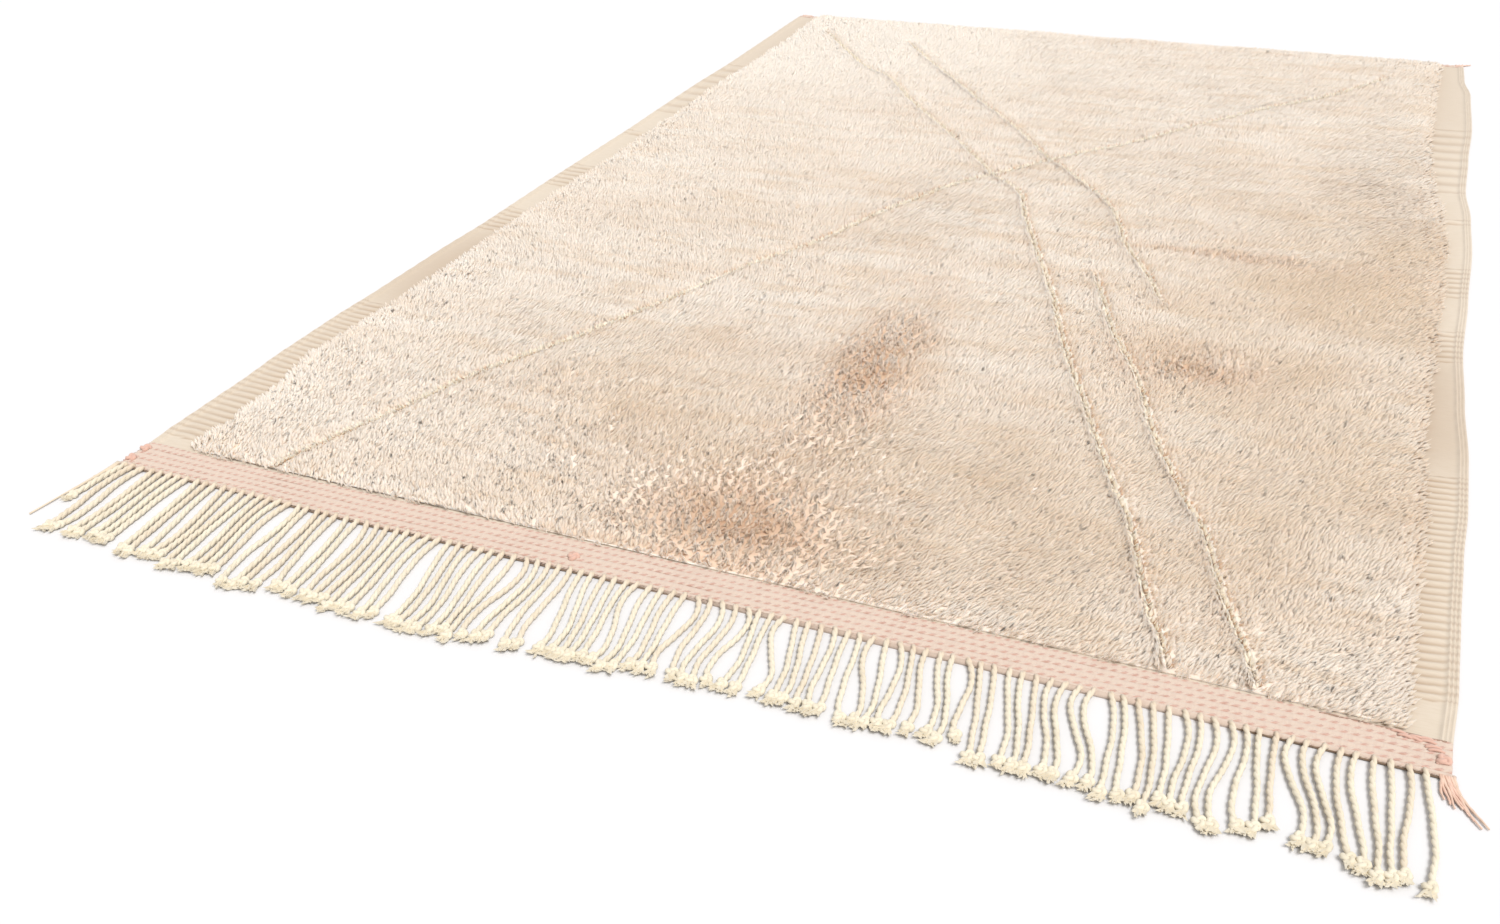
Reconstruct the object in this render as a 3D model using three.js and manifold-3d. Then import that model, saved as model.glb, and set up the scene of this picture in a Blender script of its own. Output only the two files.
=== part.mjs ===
// Beni ourain rug lying flat: a knotted wool pile on a woven ground with flat-woven side edges,
// a twined heading at each end, plied warp fringe at one end and loose yarn ends at the corners.
// Millimetres, +Z up. The origin is on the floor under the middle of the cloth, +X runs across the
// rug, and +Y runs along it, away from the fringe.
import * as THREE from 'three';
import { mergeVertices } from 'three/addons/utils/BufferGeometryUtils.js';
import Module from 'manifold-3d';

const wasm = await Module();
wasm.setup();
const { Manifold } = wasm;

// ---------------------------------------------------------------- driving sizes

const SEAM_GAP = 0.3; // between one piece and the next
const BACK_END = 1530; // where the woven ground stops, at the plain end
const SIDE_X = 990; // about where each outer edge lies

const GROUND = { thickness: 4, stations: 32 };
const SEAM = { first: -1012, last: 1012, pitch: 92 };
const SEAM_LEVEL = -1480; // where the pile begins, on the whole, at the fringe end
const FIELD = { width: 1850, length: 3000 };
const PILE = { height: 18, foot: 1, cell: 112, inset: 56, looseness: 0.3, tuft: 1.8 };
const RIM = { corner: 26, stations: 16, setback: 6, collar: 22, collarDrop: 0.8 };
const RIM_LOCK = { pitch: 72, reach: 10, shoulder: 12.5, tipHeight: 7, notch: 3.5, footInset: 8 };
const GROUND_LAP = 2; // how far pieces of the cloth run into each other
const GROOVE = { floor: 8.5, top: 30, topHalf: 13, step: 140 };
const EDGE_CORD = { count: 3, width: 5, height: 6.5, valley: 4.6, stations: 17 };
const RIB = { width: 10, underPile: 14, sunk: 1 };
const HEADING = { row: 16, rows: 4, lastRow: 9, crest: 7, valley: 4.4 };
const BACK_HEADING = { depth: 15, rows: 2 };
const FRINGE = {
  firstX: -975, lastX: 962, sway: 20, room: 13.4, stripEnds: [-984, 972], stripDepth: 5, stripHeight: 6,
};
const LOCK = { rootDepth: 6, rootHeight: 5, width: 3.4, tipWidth: 1.6, height: 4, tipHeight: 2 };
const STRAND = { width: 8, height: 6.5, knotWidth: 13, knotHeight: 10, knotGap: 1.4 };

const CORD_BAND = EDGE_CORD.count * EDGE_CORD.width;

// Outer edges of the two side bands, and where the pile begins beside them.
const SIDES = [
  { y: -1540, left: -985, pileLeft: -912, pileRight: 938, right: 992 },
  { y: -1400, left: -994, pileLeft: -908, pileRight: 940, right: 998 },
  { y: -1250, left: -996, pileLeft: -912, pileRight: 943, right: 999 },
  { y: -1100, left: -1003, pileLeft: -936, pileRight: 946, right: 1001 },
  { y: -950, left: -1004, pileLeft: -926, pileRight: 945, right: 1006 },
  { y: -800, left: -1000, pileLeft: -924, pileRight: 932, right: 1006 },
  { y: -600, left: -999, pileLeft: -922, pileRight: 939, right: 999 },
  { y: -400, left: -993, pileLeft: -926, pileRight: 946, right: 995 },
  { y: -150, left: -994, pileLeft: -922, pileRight: 951, right: 1002 },
  { y: 100, left: -992, pileLeft: -915, pileRight: 953, right: 1008 },
  { y: 300, left: -990, pileLeft: -918, pileRight: 946, right: 1005 },
  { y: 480, left: -992, pileLeft: -916, pileRight: 922, right: 994 },
  { y: 700, left: -993, pileLeft: -919, pileRight: 908, right: 998 },
  { y: 950, left: -988, pileLeft: -912, pileRight: 909, right: 1005 },
  { y: 1250, left: -990, pileLeft: -914, pileRight: 912, right: 1001 },
  { y: 1400, left: -992, pileLeft: -918, pileRight: 916, right: 985 },
  { y: 1550, left: -992, pileLeft: -922, pileRight: 918, right: 982 },
];

// The fringe end: where the strands leave the heading, and where the pile begins behind it.
const FRINGE_END = [
  { x: -1010, root: -1543, pile: -1462 },
  { x: -770, root: -1546, pile: -1472 },
  { x: -500, root: -1556, pile: -1477 },
  { x: -100, root: -1558, pile: -1481 },
  { x: 250, root: -1561, pile: -1489 },
  { x: 600, root: -1568, pile: -1497 },
  { x: 850, root: -1575, pile: -1502 },
  { x: 1010, root: -1580, pile: -1510 },
];

// Bunches of knots at the tips of the strands: how many there are, and where their middle lies.
const BUNCHES = [
  { knots: 1, x: -988, y: -1645 }, { knots: 2, x: -951, y: -1733 }, { knots: 2, x: -905, y: -1730 },
  { knots: 3, x: -859, y: -1725 }, { knots: 2, x: -797, y: -1741 }, { knots: 3, x: -756, y: -1733 },
  { knots: 3, x: -702, y: -1749 }, { knots: 3, x: -655, y: -1740 }, { knots: 3, x: -592, y: -1754 },
  { knots: 1, x: -560, y: -1753 }, { knots: 3, x: -516, y: -1741 }, { knots: 3, x: -464, y: -1742 },
  { knots: 3, x: -417, y: -1752 }, { knots: 2, x: -371, y: -1750 }, { knots: 4, x: -312, y: -1752 },
  { knots: 3, x: -253, y: -1751 }, { knots: 2, x: -211, y: -1749 }, { knots: 1, x: -188, y: -1735 },
  { knots: 2, x: -149, y: -1739 }, { knots: 3, x: -96, y: -1740 }, { knots: 3, x: -52, y: -1731 },
  { knots: 2, x: -13, y: -1738 }, { knots: 2, x: 23, y: -1729 }, { knots: 1, x: 48, y: -1728 },
  { knots: 3, x: 93, y: -1727 }, { knots: 2, x: 133, y: -1718 }, { knots: 1, x: 161, y: -1720 },
  { knots: 1, x: 190, y: -1718 }, { knots: 2, x: 217, y: -1724 }, { knots: 1, x: 243, y: -1727 },
  { knots: 2, x: 268, y: -1720 }, { knots: 3, x: 319, y: -1727 }, { knots: 2, x: 356, y: -1728 },
  { knots: 1, x: 384, y: -1724 }, { knots: 2, x: 415, y: -1721 }, { knots: 1, x: 444, y: -1715 },
  { knots: 2, x: 475, y: -1738 }, { knots: 1, x: 501, y: -1738 }, { knots: 2, x: 526, y: -1736 },
  { knots: 2, x: 559, y: -1732 }, { knots: 1, x: 585, y: -1733 }, { knots: 1, x: 605, y: -1740 },
  { knots: 1, x: 625, y: -1746 }, { knots: 2, x: 650, y: -1745 }, { knots: 1, x: 671, y: -1752 },
  { knots: 2, x: 692, y: -1740 }, { knots: 1, x: 715, y: -1741 }, { knots: 2, x: 745, y: -1757 },
  { knots: 2, x: 783, y: -1745 }, { knots: 1, x: 807, y: -1733 }, { knots: 1, x: 836, y: -1739 },
  { knots: 2, x: 858, y: -1752 }, { knots: 2, x: 899, y: -1761 }, { knots: 2, x: 927, y: -1770 },
  { knots: 1, x: 950, y: -1761 }, { knots: 1, x: 972, y: -1773 },
];

// Groups of raised weft ribs on the side bands, from one end of the rug to the other.
const RIB_GROUPS = [
  { from: -1425, pitch: 17.5, count: 33, height: 6 },
  { from: -430, pitch: 23, count: 6, height: 6 },
  { from: -130, pitch: 25, count: 6, height: 5.6 },
  { from: 276, pitch: 30, count: 1, height: 8 },
  { from: 490, pitch: 60, count: 8, height: 7 },
];

// Lines drawn in the pile, as grooves, from the fringe end to the plain end.
const LINES = [
  [
    { x: -742, y: -1500 },
    { x: -703, y: -1364 },
    { x: -601, y: -1070 },
    { x: -475, y: -801 },
    { x: -346, y: -483 },
    { x: -186, y: -98 },
    { x: -16, y: 222 },
    { x: 235, y: 552 },
    { x: 528, y: 960 },
    { x: 681, y: 1142 },
    { x: 796, y: 1338 },
  ],
  [
    { x: 668, y: -1520 },
    { x: 613, y: -1366 },
    { x: 518, y: -1088 },
    { x: 400, y: -781 },
    { x: 270, y: -408 },
    { x: 122, y: -18 },
    { x: -16, y: 222 },
    { x: -200, y: 499 },
    { x: -487, y: 915 },
    { x: -825, y: 1340 },
  ],
  [
    { x: 477, y: -384 },
    { x: 422, y: -245 },
    { x: 318, y: 6 },
    { x: 135, y: 317 },
    { x: -118, y: 684 },
    { x: -418, y: 1099 },
    { x: -546, y: 1291 },
  ],
  [
    { x: 776, y: -1515 },
    { x: 678, y: -1225 },
    { x: 577, y: -979 },
    { x: 483, y: -702 },
    { x: 377, y: -439 },
    { x: 323, y: -275 },
  ],
];

// Clumps where the pile has parted and lies lower.
const PARTINGS = [
  { x: 40, y: -800, radiusX: 110, radiusY: 300, depth: 3.2 },
  { x: 10, y: -1370, radiusX: 170, radiusY: 120, depth: 2.6 },
  { x: 565, y: -640, radiusX: 120, radiusY: 90, depth: 2.4 },
  { x: 590, y: -100, radiusX: 220, radiusY: 36, depth: 2.6 },
  { x: -560, y: -1250, radiusX: 150, radiusY: 90, depth: -2 },
  { x: -300, y: 700, radiusX: 260, radiusY: 180, depth: 1.6 },
];

// Loose yarn ends at the corners: the middle of the bound root against its seam, how wide it is,
// and where the first and the last of its locks end, as distances from that middle.
const CORNER_ENDS = [
  {
    name: 'ends_front_right', x: 986, width: 20, locks: 8, away: -1,
    tipFrom: -2, tipTo: 44, reachFrom: 38, reachTo: 78,
  },
  {
    name: 'ends_front_left', x: -992, width: 12, locks: 3, away: -1,
    tipFrom: -20, tipTo: -8, reachFrom: 176, reachTo: 44,
  },
  {
    name: 'ends_back_right', x: 968, width: 18, locks: 5, away: 1,
    tipFrom: -6, tipTo: 32, reachFrom: 16, reachTo: 26,
  },
  {
    name: 'ends_back_left', x: -976, width: 20, locks: 5, away: 1,
    tipFrom: -14, tipTo: 16, reachFrom: 18, reachTo: 14,
  },
];

const COLOURS = { pile: 0xe9cfb8, heading: 0xe6c3b4, fringe: 0xece0c8, ends: 0xdcae9a };

// ---------------------------------------------------------------- numbers and solids

/** A repeatable number from 0 to 1 for each index and use. */
function chance(index, use) {
  const wave = Math.sin(index * 12.9898 + use * 78.233) * 43758.5453;
  return wave - Math.floor(wave);
}

/** A table's column at a place between its rows, eased from row to row. */
function along(table, key, column, at) {
  const last = table.length - 1;
  let row = 0;
  while (row < last - 1 && table[row + 1][key] < at) row += 1;
  const [from, to] = [table[row], table[row + 1]];
  const share = THREE.MathUtils.clamp((at - from[key]) / (to[key] - from[key]), 0, 1);
  const eased = THREE.MathUtils.smoothstep(share, 0, 1);
  return THREE.MathUtils.lerp(from[column], to[column], eased);
}

const side = (column, y) => along(SIDES, 'y', column, y);
const fringeEnd = (column, x) => along(FRINGE_END, 'x', column, x);

/** The places from one side to the other at which the seams across the rug bend. */
function seamPlaces(from, to) {
  const between = [];
  for (let x = SEAM.first; x <= SEAM.last; x += SEAM.pitch) {
    if (x > from && x < to) between.push(x);
  }
  return [from, ...between, to];
}

/** A seam across the rug: straight from place to place, so that both pieces follow one line. */
function seam(column, x) {
  const from = SEAM.first + Math.floor((x - SEAM.first) / SEAM.pitch) * SEAM.pitch;
  const share = (x - from) / SEAM.pitch;
  return THREE.MathUtils.lerp(fringeEnd(column, from), fringeEnd(column, from + SEAM.pitch), share);
}

/** The front edge of the woven ground, in front of the pile. */
const groundFront = (x) => seam('pile', x) - 4;

/** How high the pile stands above the floor at a place in the field. */
function pileHeight(x, y) {
  const swell = 1.1 * Math.sin(x / 131 + 0.6) * Math.cos(y / 173) + 0.9 * Math.sin(x / 57 + y / 83);
  let height = PILE.height + swell;
  for (const parting of PARTINGS) {
    const across = (x - parting.x) / parting.radiusX;
    const lengthways = (y - parting.y) / parting.radiusY;
    height -= parting.depth * Math.exp(-(across ** 2) - lengthways ** 2);
  }
  return height;
}

/** A manifold solid from points and triangles, turned right side out. */
function solidOf(points, faces) {
  const geometry = new THREE.BufferGeometry();
  geometry.setAttribute('position', new THREE.Float32BufferAttribute(points.flat(), 3));
  geometry.setIndex(faces.flat());
  const merged = mergeVertices(geometry, 1e-4);
  const vertProperties = merged.attributes.position.array;
  const triVerts = Uint32Array.from(merged.index.array);
  const corner = (index) => new THREE.Vector3().fromArray(vertProperties, triVerts[index] * 3);
  let volume = 0;
  for (let i = 0; i < triVerts.length; i += 3) {
    volume += corner(i).dot(corner(i + 1).cross(corner(i + 2)));
  }
  if (volume < 0) triVerts.reverse();
  return new Manifold(new wasm.Mesh({ numProp: 3, vertProperties, triVerts }));
}

/** A named mesh from a manifold solid. */
function meshOf(name, solid, colour, roughness) {
  const { vertProperties, triVerts } = solid.getMesh();
  const geometry = new THREE.BufferGeometry();
  geometry.setAttribute('position', new THREE.Float32BufferAttribute(vertProperties, 3));
  geometry.setIndex(new THREE.Uint32BufferAttribute(triVerts, 1));
  geometry.computeVertexNormals();
  const material = new THREE.MeshStandardMaterial({ color: colour, roughness, metalness: 0 });
  const mesh = new THREE.Mesh(geometry, material);
  mesh.name = name;
  return mesh;
}

/** A closed skin over loops of equal length, with both ends capped. */
function loft(loops, profile) {
  if (THREE.ShapeUtils.isClockWise(profile.map(([x, y]) => ({ x, y })))) {
    return loft(loops.map((loop) => [...loop].reverse()), [...profile].reverse());
  }
  const around = profile.length;
  const faces = [];
  for (let ring = 0; ring < loops.length - 1; ring += 1) {
    for (let i = 0; i < around; i += 1) {
      const [a, b] = [ring * around + i, ring * around + ((i + 1) % around)];
      faces.push([a, b, b + around], [a, b + around, a + around]);
    }
  }
  const outline = profile.map(([u, v]) => new THREE.Vector2(u, v));
  const end = (loops.length - 1) * around;
  for (const [a, b, c] of THREE.ShapeUtils.triangulateShape(outline, [])) {
    faces.push([a, c, b], [end + a, end + b, end + c]);
  }
  return solidOf(loops.flat(), faces);
}

// ---------------------------------------------------------------- the cloth

/** The woven ground: a thin sheet with the uneven outline of the side bands' inner cords. */
function ground() {
  const inset = CORD_BAND - GROUND_LAP;
  const west = side('left', groundFront(-SIDE_X)) + inset;
  const east = side('right', groundFront(SIDE_X)) - inset;
  const outline = seamPlaces(west, east).map((x) => new THREE.Vector2(x, groundFront(x)));
  const rows = (column, shift) => {
    const points = [];
    for (let i = 1; i <= GROUND.stations; i += 1) {
      const y = THREE.MathUtils.lerp(groundFront(SIDE_X), BACK_END, i / GROUND.stations);
      points.push(new THREE.Vector2(side(column, y) + shift, y));
    }
    return points;
  };
  outline.push(...rows('right', -inset));
  outline.push(...rows('left', inset).reverse());
  const faces = [];
  const top = outline.map(({ x, y }) => [x, y, GROUND.thickness]);
  const bottom = outline.map(({ x, y }) => [x, y, 0]);
  const count = outline.length;
  for (const [a, b, c] of THREE.ShapeUtils.triangulateShape(outline, [])) {
    faces.push([a, b, c], [count + a, count + c, count + b]);
  }
  for (let i = 0; i < count; i += 1) {
    const next = (i + 1) % count;
    faces.push([i, count + i, count + next], [i, count + next, next]);
  }
  return solidOf([...top, ...bottom], faces);
}

/** The cords that bind one side edge, as one band with a ridge for each. */
function edgeCords(column, inward) {
  const profile = [[0, 0]];
  for (let i = 0; i < EDGE_CORD.count; i += 1) {
    profile.push([i * EDGE_CORD.width + 0.2, EDGE_CORD.valley]);
    profile.push([(i + 0.5) * EDGE_CORD.width, EDGE_CORD.height]);
  }
  profile.push([CORD_BAND, EDGE_CORD.valley], [CORD_BAND, 0]);
  const loops = [];
  for (let i = 0; i <= EDGE_CORD.stations; i += 1) {
    const start = groundFront(-SIDE_X * inward);
    const y = THREE.MathUtils.lerp(start, BACK_END, i / EDGE_CORD.stations);
    loops.push(profile.map(([across, z]) => {
      const x = side(column, y) + inward * across;
      return [x, i ? y : groundFront(x), z];
    }));
  }
  return loft(loops, profile);
}

/** One raised weft rib across a side band, from under the pile to the edge cords. */
function rib(column, pileColumn, inward, y, height) {
  const outer = side(column, y) + inward * (CORD_BAND - GROUND_LAP);
  const inner = side(pileColumn, y) + inward * RIB.underPile;
  const base = GROUND.thickness - RIB.sunk;
  const profile = [[-RIB.width / 2, base], [0, height], [RIB.width / 2, base]];
  const loops = [outer, inner].map((x) => profile.map(([shift, z]) => [x, y + shift, z]));
  return loft(loops, profile);
}

function sideBands() {
  const pieces = [edgeCords('left', 1), edgeCords('right', -1)];
  for (const group of RIB_GROUPS) {
    for (let i = 0; i < group.count; i += 1) {
      const y = group.from + i * group.pitch;
      pieces.push(rib('left', 'pileLeft', 1, y, group.height));
      pieces.push(rib('right', 'pileRight', -1, y, group.height));
    }
  }
  return pieces;
}

/** The pile's border, as evenly spaced places with the outward direction at each. */
function pileBorder(locks) {
  const back = BACK_END - RIM_LOCK.reach;
  const edge = [];
  const { corner, stations } = RIM;
  const [near, far] = [SIDES[0], SIDES.at(-1)];
  const sides = (column, from, to) => {
    for (let i = 0; i <= stations; i += 1) {
      const y = THREE.MathUtils.lerp(from, to, i / stations);
      edge.push(new THREE.Vector3(side(column, y), y, 0));
    }
  };
  const ends = (place, from, to) => {
    for (let i = 0; i <= stations; i += 1) {
      const x = THREE.MathUtils.lerp(from, to, i / stations);
      edge.push(new THREE.Vector3(x, place(x), 0));
    }
  };
  const front = (x) => fringeEnd('pile', x) + RIM.setback;
  ends(front, near.pileLeft + corner, near.pileRight - corner);
  sides('pileRight', front(near.pileRight) + corner, back - corner);
  ends(() => back, far.pileRight - corner, far.pileLeft + corner);
  sides('pileLeft', back - corner, front(near.pileLeft) + corner);
  const curve = new THREE.CatmullRomCurve3(edge, true, 'centripetal');
  curve.arcLengthDivisions = 600;
  const count = locks * 2;
  return Array.from({ length: count }, (_, i) => {
    const at = curve.getPointAt(i / count);
    const tangent = curve.getTangentAt(i / count);
    return { x: at.x, y: at.y, outX: tangent.y, outY: -tangent.x };
  });
}

/** The pile: a lumpy slab whose rim is a row of locks that hang over the flat-woven border. */
function pile() {
  const locks = Math.round(2 * (FIELD.width + FIELD.length) / RIM_LOCK.pitch);
  const border = pileBorder(locks);
  const points = [];
  const faces = [];
  const place = (x, y, z) => points.push([x, y, z]) - 1;
  const shifted = ({ x, y, outX, outY }, by) => [x + outX * by, y + outY * by];

  const columns = Math.round(FIELD.width / PILE.cell);
  const rows = Math.round(FIELD.length / PILE.cell);
  const [nearest, furthest] = [SEAM_LEVEL + PILE.inset, BACK_END - PILE.inset - RIM_LOCK.reach];
  const grid = [];
  for (let row = 0; row <= rows; row += 1) {
    const level = THREE.MathUtils.lerp(nearest, furthest, row / rows);
    const west = side('pileLeft', level) + PILE.inset;
    const east = side('pileRight', level) - PILE.inset;
    const line = [];
    for (let column = 0; column <= columns; column += 1) {
      const inside = row > 0 && row < rows && column > 0 && column < columns;
      const loose = inside ? PILE.cell * PILE.looseness : 0;
      const index = row * (columns + 1) + column;
      const x = THREE.MathUtils.lerp(west, east, column / columns) + loose * (chance(index, 1) - 0.5);
      const lean = (fringeEnd('pile', x) - SEAM_LEVEL) * (1 - row / rows);
      const y = level + lean + loose * (chance(index, 2) - 0.5);
      const tuft = inside ? PILE.tuft * (chance(index, 3) - 0.5) : 0;
      line.push(place(x, y, pileHeight(x, y) + tuft));
    }
    grid.push(line);
  }
  for (let row = 0; row < rows; row += 1) {
    for (let column = 0; column < columns; column += 1) {
      const [a, b] = [grid[row][column], grid[row][column + 1]];
      const [d, c] = [grid[row + 1][column], grid[row + 1][column + 1]];
      faces.push([a, b, c], [a, c, d]);
    }
  }

  // Rings from the field down to the foot. Odd places stand out as locks, even ones draw in.
  const inner = border.filter((_, i) => i % 2 === 0).map((spot) => {
    const [x, y] = shifted(spot, -RIM.collar);
    return place(x, y, pileHeight(x, y) - RIM.collarDrop);
  });
  const ring = (standing, drawnIn) => border.map((spot, i) => {
    const [out, z] = i % 2 ? standing(i) : drawnIn(i);
    const [x, y] = shifted(spot, out);
    return place(x, y, z);
  });
  const { reach, tipHeight, notch, footInset } = RIM_LOCK;
  const shoulder = ring(
    (i) => [-1 + 3 * chance(i, 4), RIM_LOCK.shoulder + 1.6 * chance(i, 5)],
    (i) => [-notch - 2 * chance(i, 4), RIM_LOCK.shoulder - 1.8],
  );
  const tips = ring(
    (i) => [reach * (0.55 + 0.4 * chance(i, 6)), tipHeight - 1.5 * chance(i, 7)],
    () => [-notch, tipHeight],
  );
  const level = () => [-footInset, PILE.foot];
  const foot = ring(level, level);
  const count = border.length;
  inner.forEach((spot, i) => {
    const next = inner[(i + 1) % inner.length];
    const [a, b, c] = [shoulder[2 * i], shoulder[2 * i + 1], shoulder[(2 * i + 2) % count]];
    faces.push([spot, a, b], [spot, b, next], [next, b, c]);
  });
  for (const [upper, lower] of [[shoulder, tips], [tips, foot]]) {
    for (let i = 0; i < count; i += 1) {
      const next = (i + 1) % count;
      faces.push([upper[i], lower[i], lower[next]], [upper[i], lower[next], upper[next]]);
    }
  }

  // The flat ring between the grid and the rim, and the hidden underside, are plain polygons.
  const flat = (index) => new THREE.Vector2(points[index][0], points[index][1]);
  const gridEdge = [
    ...grid[0],
    ...grid.slice(1).map((line) => line[columns]),
    ...grid[rows].slice(0, -1).reverse(),
    ...grid.slice(1, -1).map((line) => line[0]).reverse(),
  ];
  const collar = [...inner, ...[...gridEdge].reverse()];
  const hole = [...gridEdge].reverse().map(flat);
  for (const [a, b, c] of THREE.ShapeUtils.triangulateShape(inner.map(flat), [hole])) {
    faces.push([collar[a], collar[b], collar[c]]);
  }
  for (const [a, b, c] of THREE.ShapeUtils.triangulateShape(foot.map(flat), [])) {
    faces.push([foot[a], foot[c], foot[b]]);
  }
  return solidOf(points, faces);
}

/** The cutter for one drawn line: a channel that closes to a crease at its floor. */
function groove(line) {
  const path = new THREE.CatmullRomCurve3(
    line.map(({ x, y }) => new THREE.Vector3(x, y, 0)), false, 'centripetal');
  const steps = Math.round(path.getLength() / GROOVE.step);
  const { floor, top, topHalf } = GROOVE;
  const profile = [[0, floor], [topHalf, top], [-topHalf, top]];
  const loops = [];
  for (let i = 0; i <= steps; i += 1) {
    const at = path.getPointAt(i / steps);
    const tangent = path.getTangentAt(i / steps);
    loops.push(profile.map(([across, z]) => [at.x + tangent.y * across, at.y - tangent.x * across, z]));
  }
  return loft(loops, profile);
}

function rugBody() {
  const carvedPile = LINES.reduce((left, line) => left.subtract(groove(line)), pile());
  const solid = Manifold.union([ground(), carvedPile, ...sideBands()]);
  return meshOf('rug_body', solid, COLOURS.pile, 0.95);
}

// ---------------------------------------------------------------- headings

/** A band of twined rows: one ridge to a row, from the edge at `near` to the edge at `far`. */
function twinedBand(name, rowCount, lastShare, ends, near, far) {
  const profile = [[0, 0]];
  const total = rowCount + lastShare;
  for (let row = 0; row < Math.ceil(total); row += 1) {
    const width = row < rowCount ? 1 : lastShare;
    profile.push([row / total, HEADING.valley]);
    profile.push([(row + 0.3 * width) / total, HEADING.crest]);
    profile.push([(row + 0.7 * width) / total, HEADING.crest]);
  }
  profile.push([1, HEADING.valley], [1, 0]);
  const loops = seamPlaces(...ends).map((x) => profile.map(([share, z]) => {
    const y = THREE.MathUtils.lerp(near(x), far(x), share);
    return [x, y, z];
  }));
  return meshOf(name, loft(loops, profile), COLOURS.heading, 0.9);
}

const stripFront = (x) => seam('root', x);
const headingFront = () => twinedBand(
  'heading_front',
  HEADING.rows,
  HEADING.lastRow / HEADING.row,
  [-988, 992],
  (x) => groundFront(x) - SEAM_GAP,
  (x) => stripFront(x) + FRINGE.stripDepth + SEAM_GAP,
);
const headingBack = () => twinedBand(
  'heading_back',
  BACK_HEADING.rows,
  0,
  [-990, 981],
  () => BACK_END + SEAM_GAP,
  () => BACK_END + BACK_HEADING.depth,
);

// ---------------------------------------------------------------- fringe and loose ends

/** A strand lying on the floor: stations along it give its place, its width and its height. */
function strand(stations) {
  const profile = [[-0.5, 0], [0.5, 0], [0, 1]];
  const loops = stations.map(({ x, y, turn, width, height }) => profile.map(([across, up]) => {
    const by = across * width;
    return [x + Math.cos(turn) * by, y + Math.sin(turn) * by, up * height];
  }));
  return loft(loops, profile);
}

/** The smooth curve through four values that lie a third of the way apart. */
function through([a, b, c, d], share) {
  const t = 3 * share;
  const early = b * t * (t - 2) * (t - 3) / 2 - a * (t - 1) * (t - 2) * (t - 3) / 6;
  const late = d * t * (t - 1) * (t - 2) / 6 - c * t * (t - 1) * (t - 3) / 2;
  return early + late;
}

/** Where each strand bends on its way from its root to its knot, clear of the one before it. */
function strandPlaces() {
  const total = BUNCHES.reduce((sum, { knots }) => sum + knots, 0);
  const { firstX, lastX, sway, room } = FRINGE;
  const knotRoom = STRAND.knotWidth + STRAND.knotGap;
  const places = [];
  let before = { upper: -Infinity, lower: -Infinity, knot: -Infinity };
  for (const { knots, x, y } of BUNCHES) {
    for (let j = 0; j < knots; j += 1) {
      const i = places.length;
      const root = THREE.MathUtils.lerp(firstX, lastX, i / (total - 1)) + 3 * (chance(i, 11) - 0.5);
      const knot = Math.max(x + knotRoom * (j - (knots - 1) / 2), before.knot + knotRoom);
      const wave = 4 * Math.sin(root / 47);
      const upper = THREE.MathUtils.lerp(root, knot, 0.3) + wave + 0.8 * sway * (chance(i, 12) - 0.5);
      const lower = THREE.MathUtils.lerp(root, knot, 0.75) + sway * (chance(i, 14) - 0.5);
      before = {
        upper: Math.max(upper, before.upper + room),
        lower: Math.max(lower, before.lower + room),
        knot,
      };
      const tipY = y + 12 * (chance(i, 13) - 0.5);
      places.push({ bends: [root, before.upper, before.lower, knot], tipY });
    }
  }
  return places;
}

function fringeStrand({ bends, tipY }) {
  const rootY = stripFront(bends[0]) + FRINGE.stripDepth / 2;
  const { width, height, knotWidth, knotHeight } = STRAND;
  const rows = [
    { share: 0, width, height: height - 1 },
    { share: 0.2, width, height },
    { share: 0.4, width, height },
    { share: 0.6, width, height },
    { share: 0.8, width, height },
    { share: 0.91, width: width - 1, height },
    { share: 0.97, width: knotWidth, height: knotHeight },
    { share: 1.1, width: knotWidth - 4, height: knotHeight / 2 },
  ];
  return strand(rows.map(({ share, ...size }) => {
    const x = through(bends, Math.min(share, 1));
    return { x, y: THREE.MathUtils.lerp(rootY, tipY, share), turn: 0, ...size };
  }));
}

function fringeFront() {
  const { stripDepth, stripHeight, stripEnds } = FRINGE;
  const profile = [[0, 0], [0, stripHeight], [stripDepth, stripHeight], [stripDepth, 0]];
  const loops = seamPlaces(...stripEnds).map((x) => (
    profile.map(([depth, z]) => [x, stripFront(x) + depth, z])));
  const solid = Manifold.union([loft(loops, profile), ...strandPlaces().map(fringeStrand)]);
  return meshOf('fringe_front', solid, COLOURS.fringe, 0.9);
}

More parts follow.
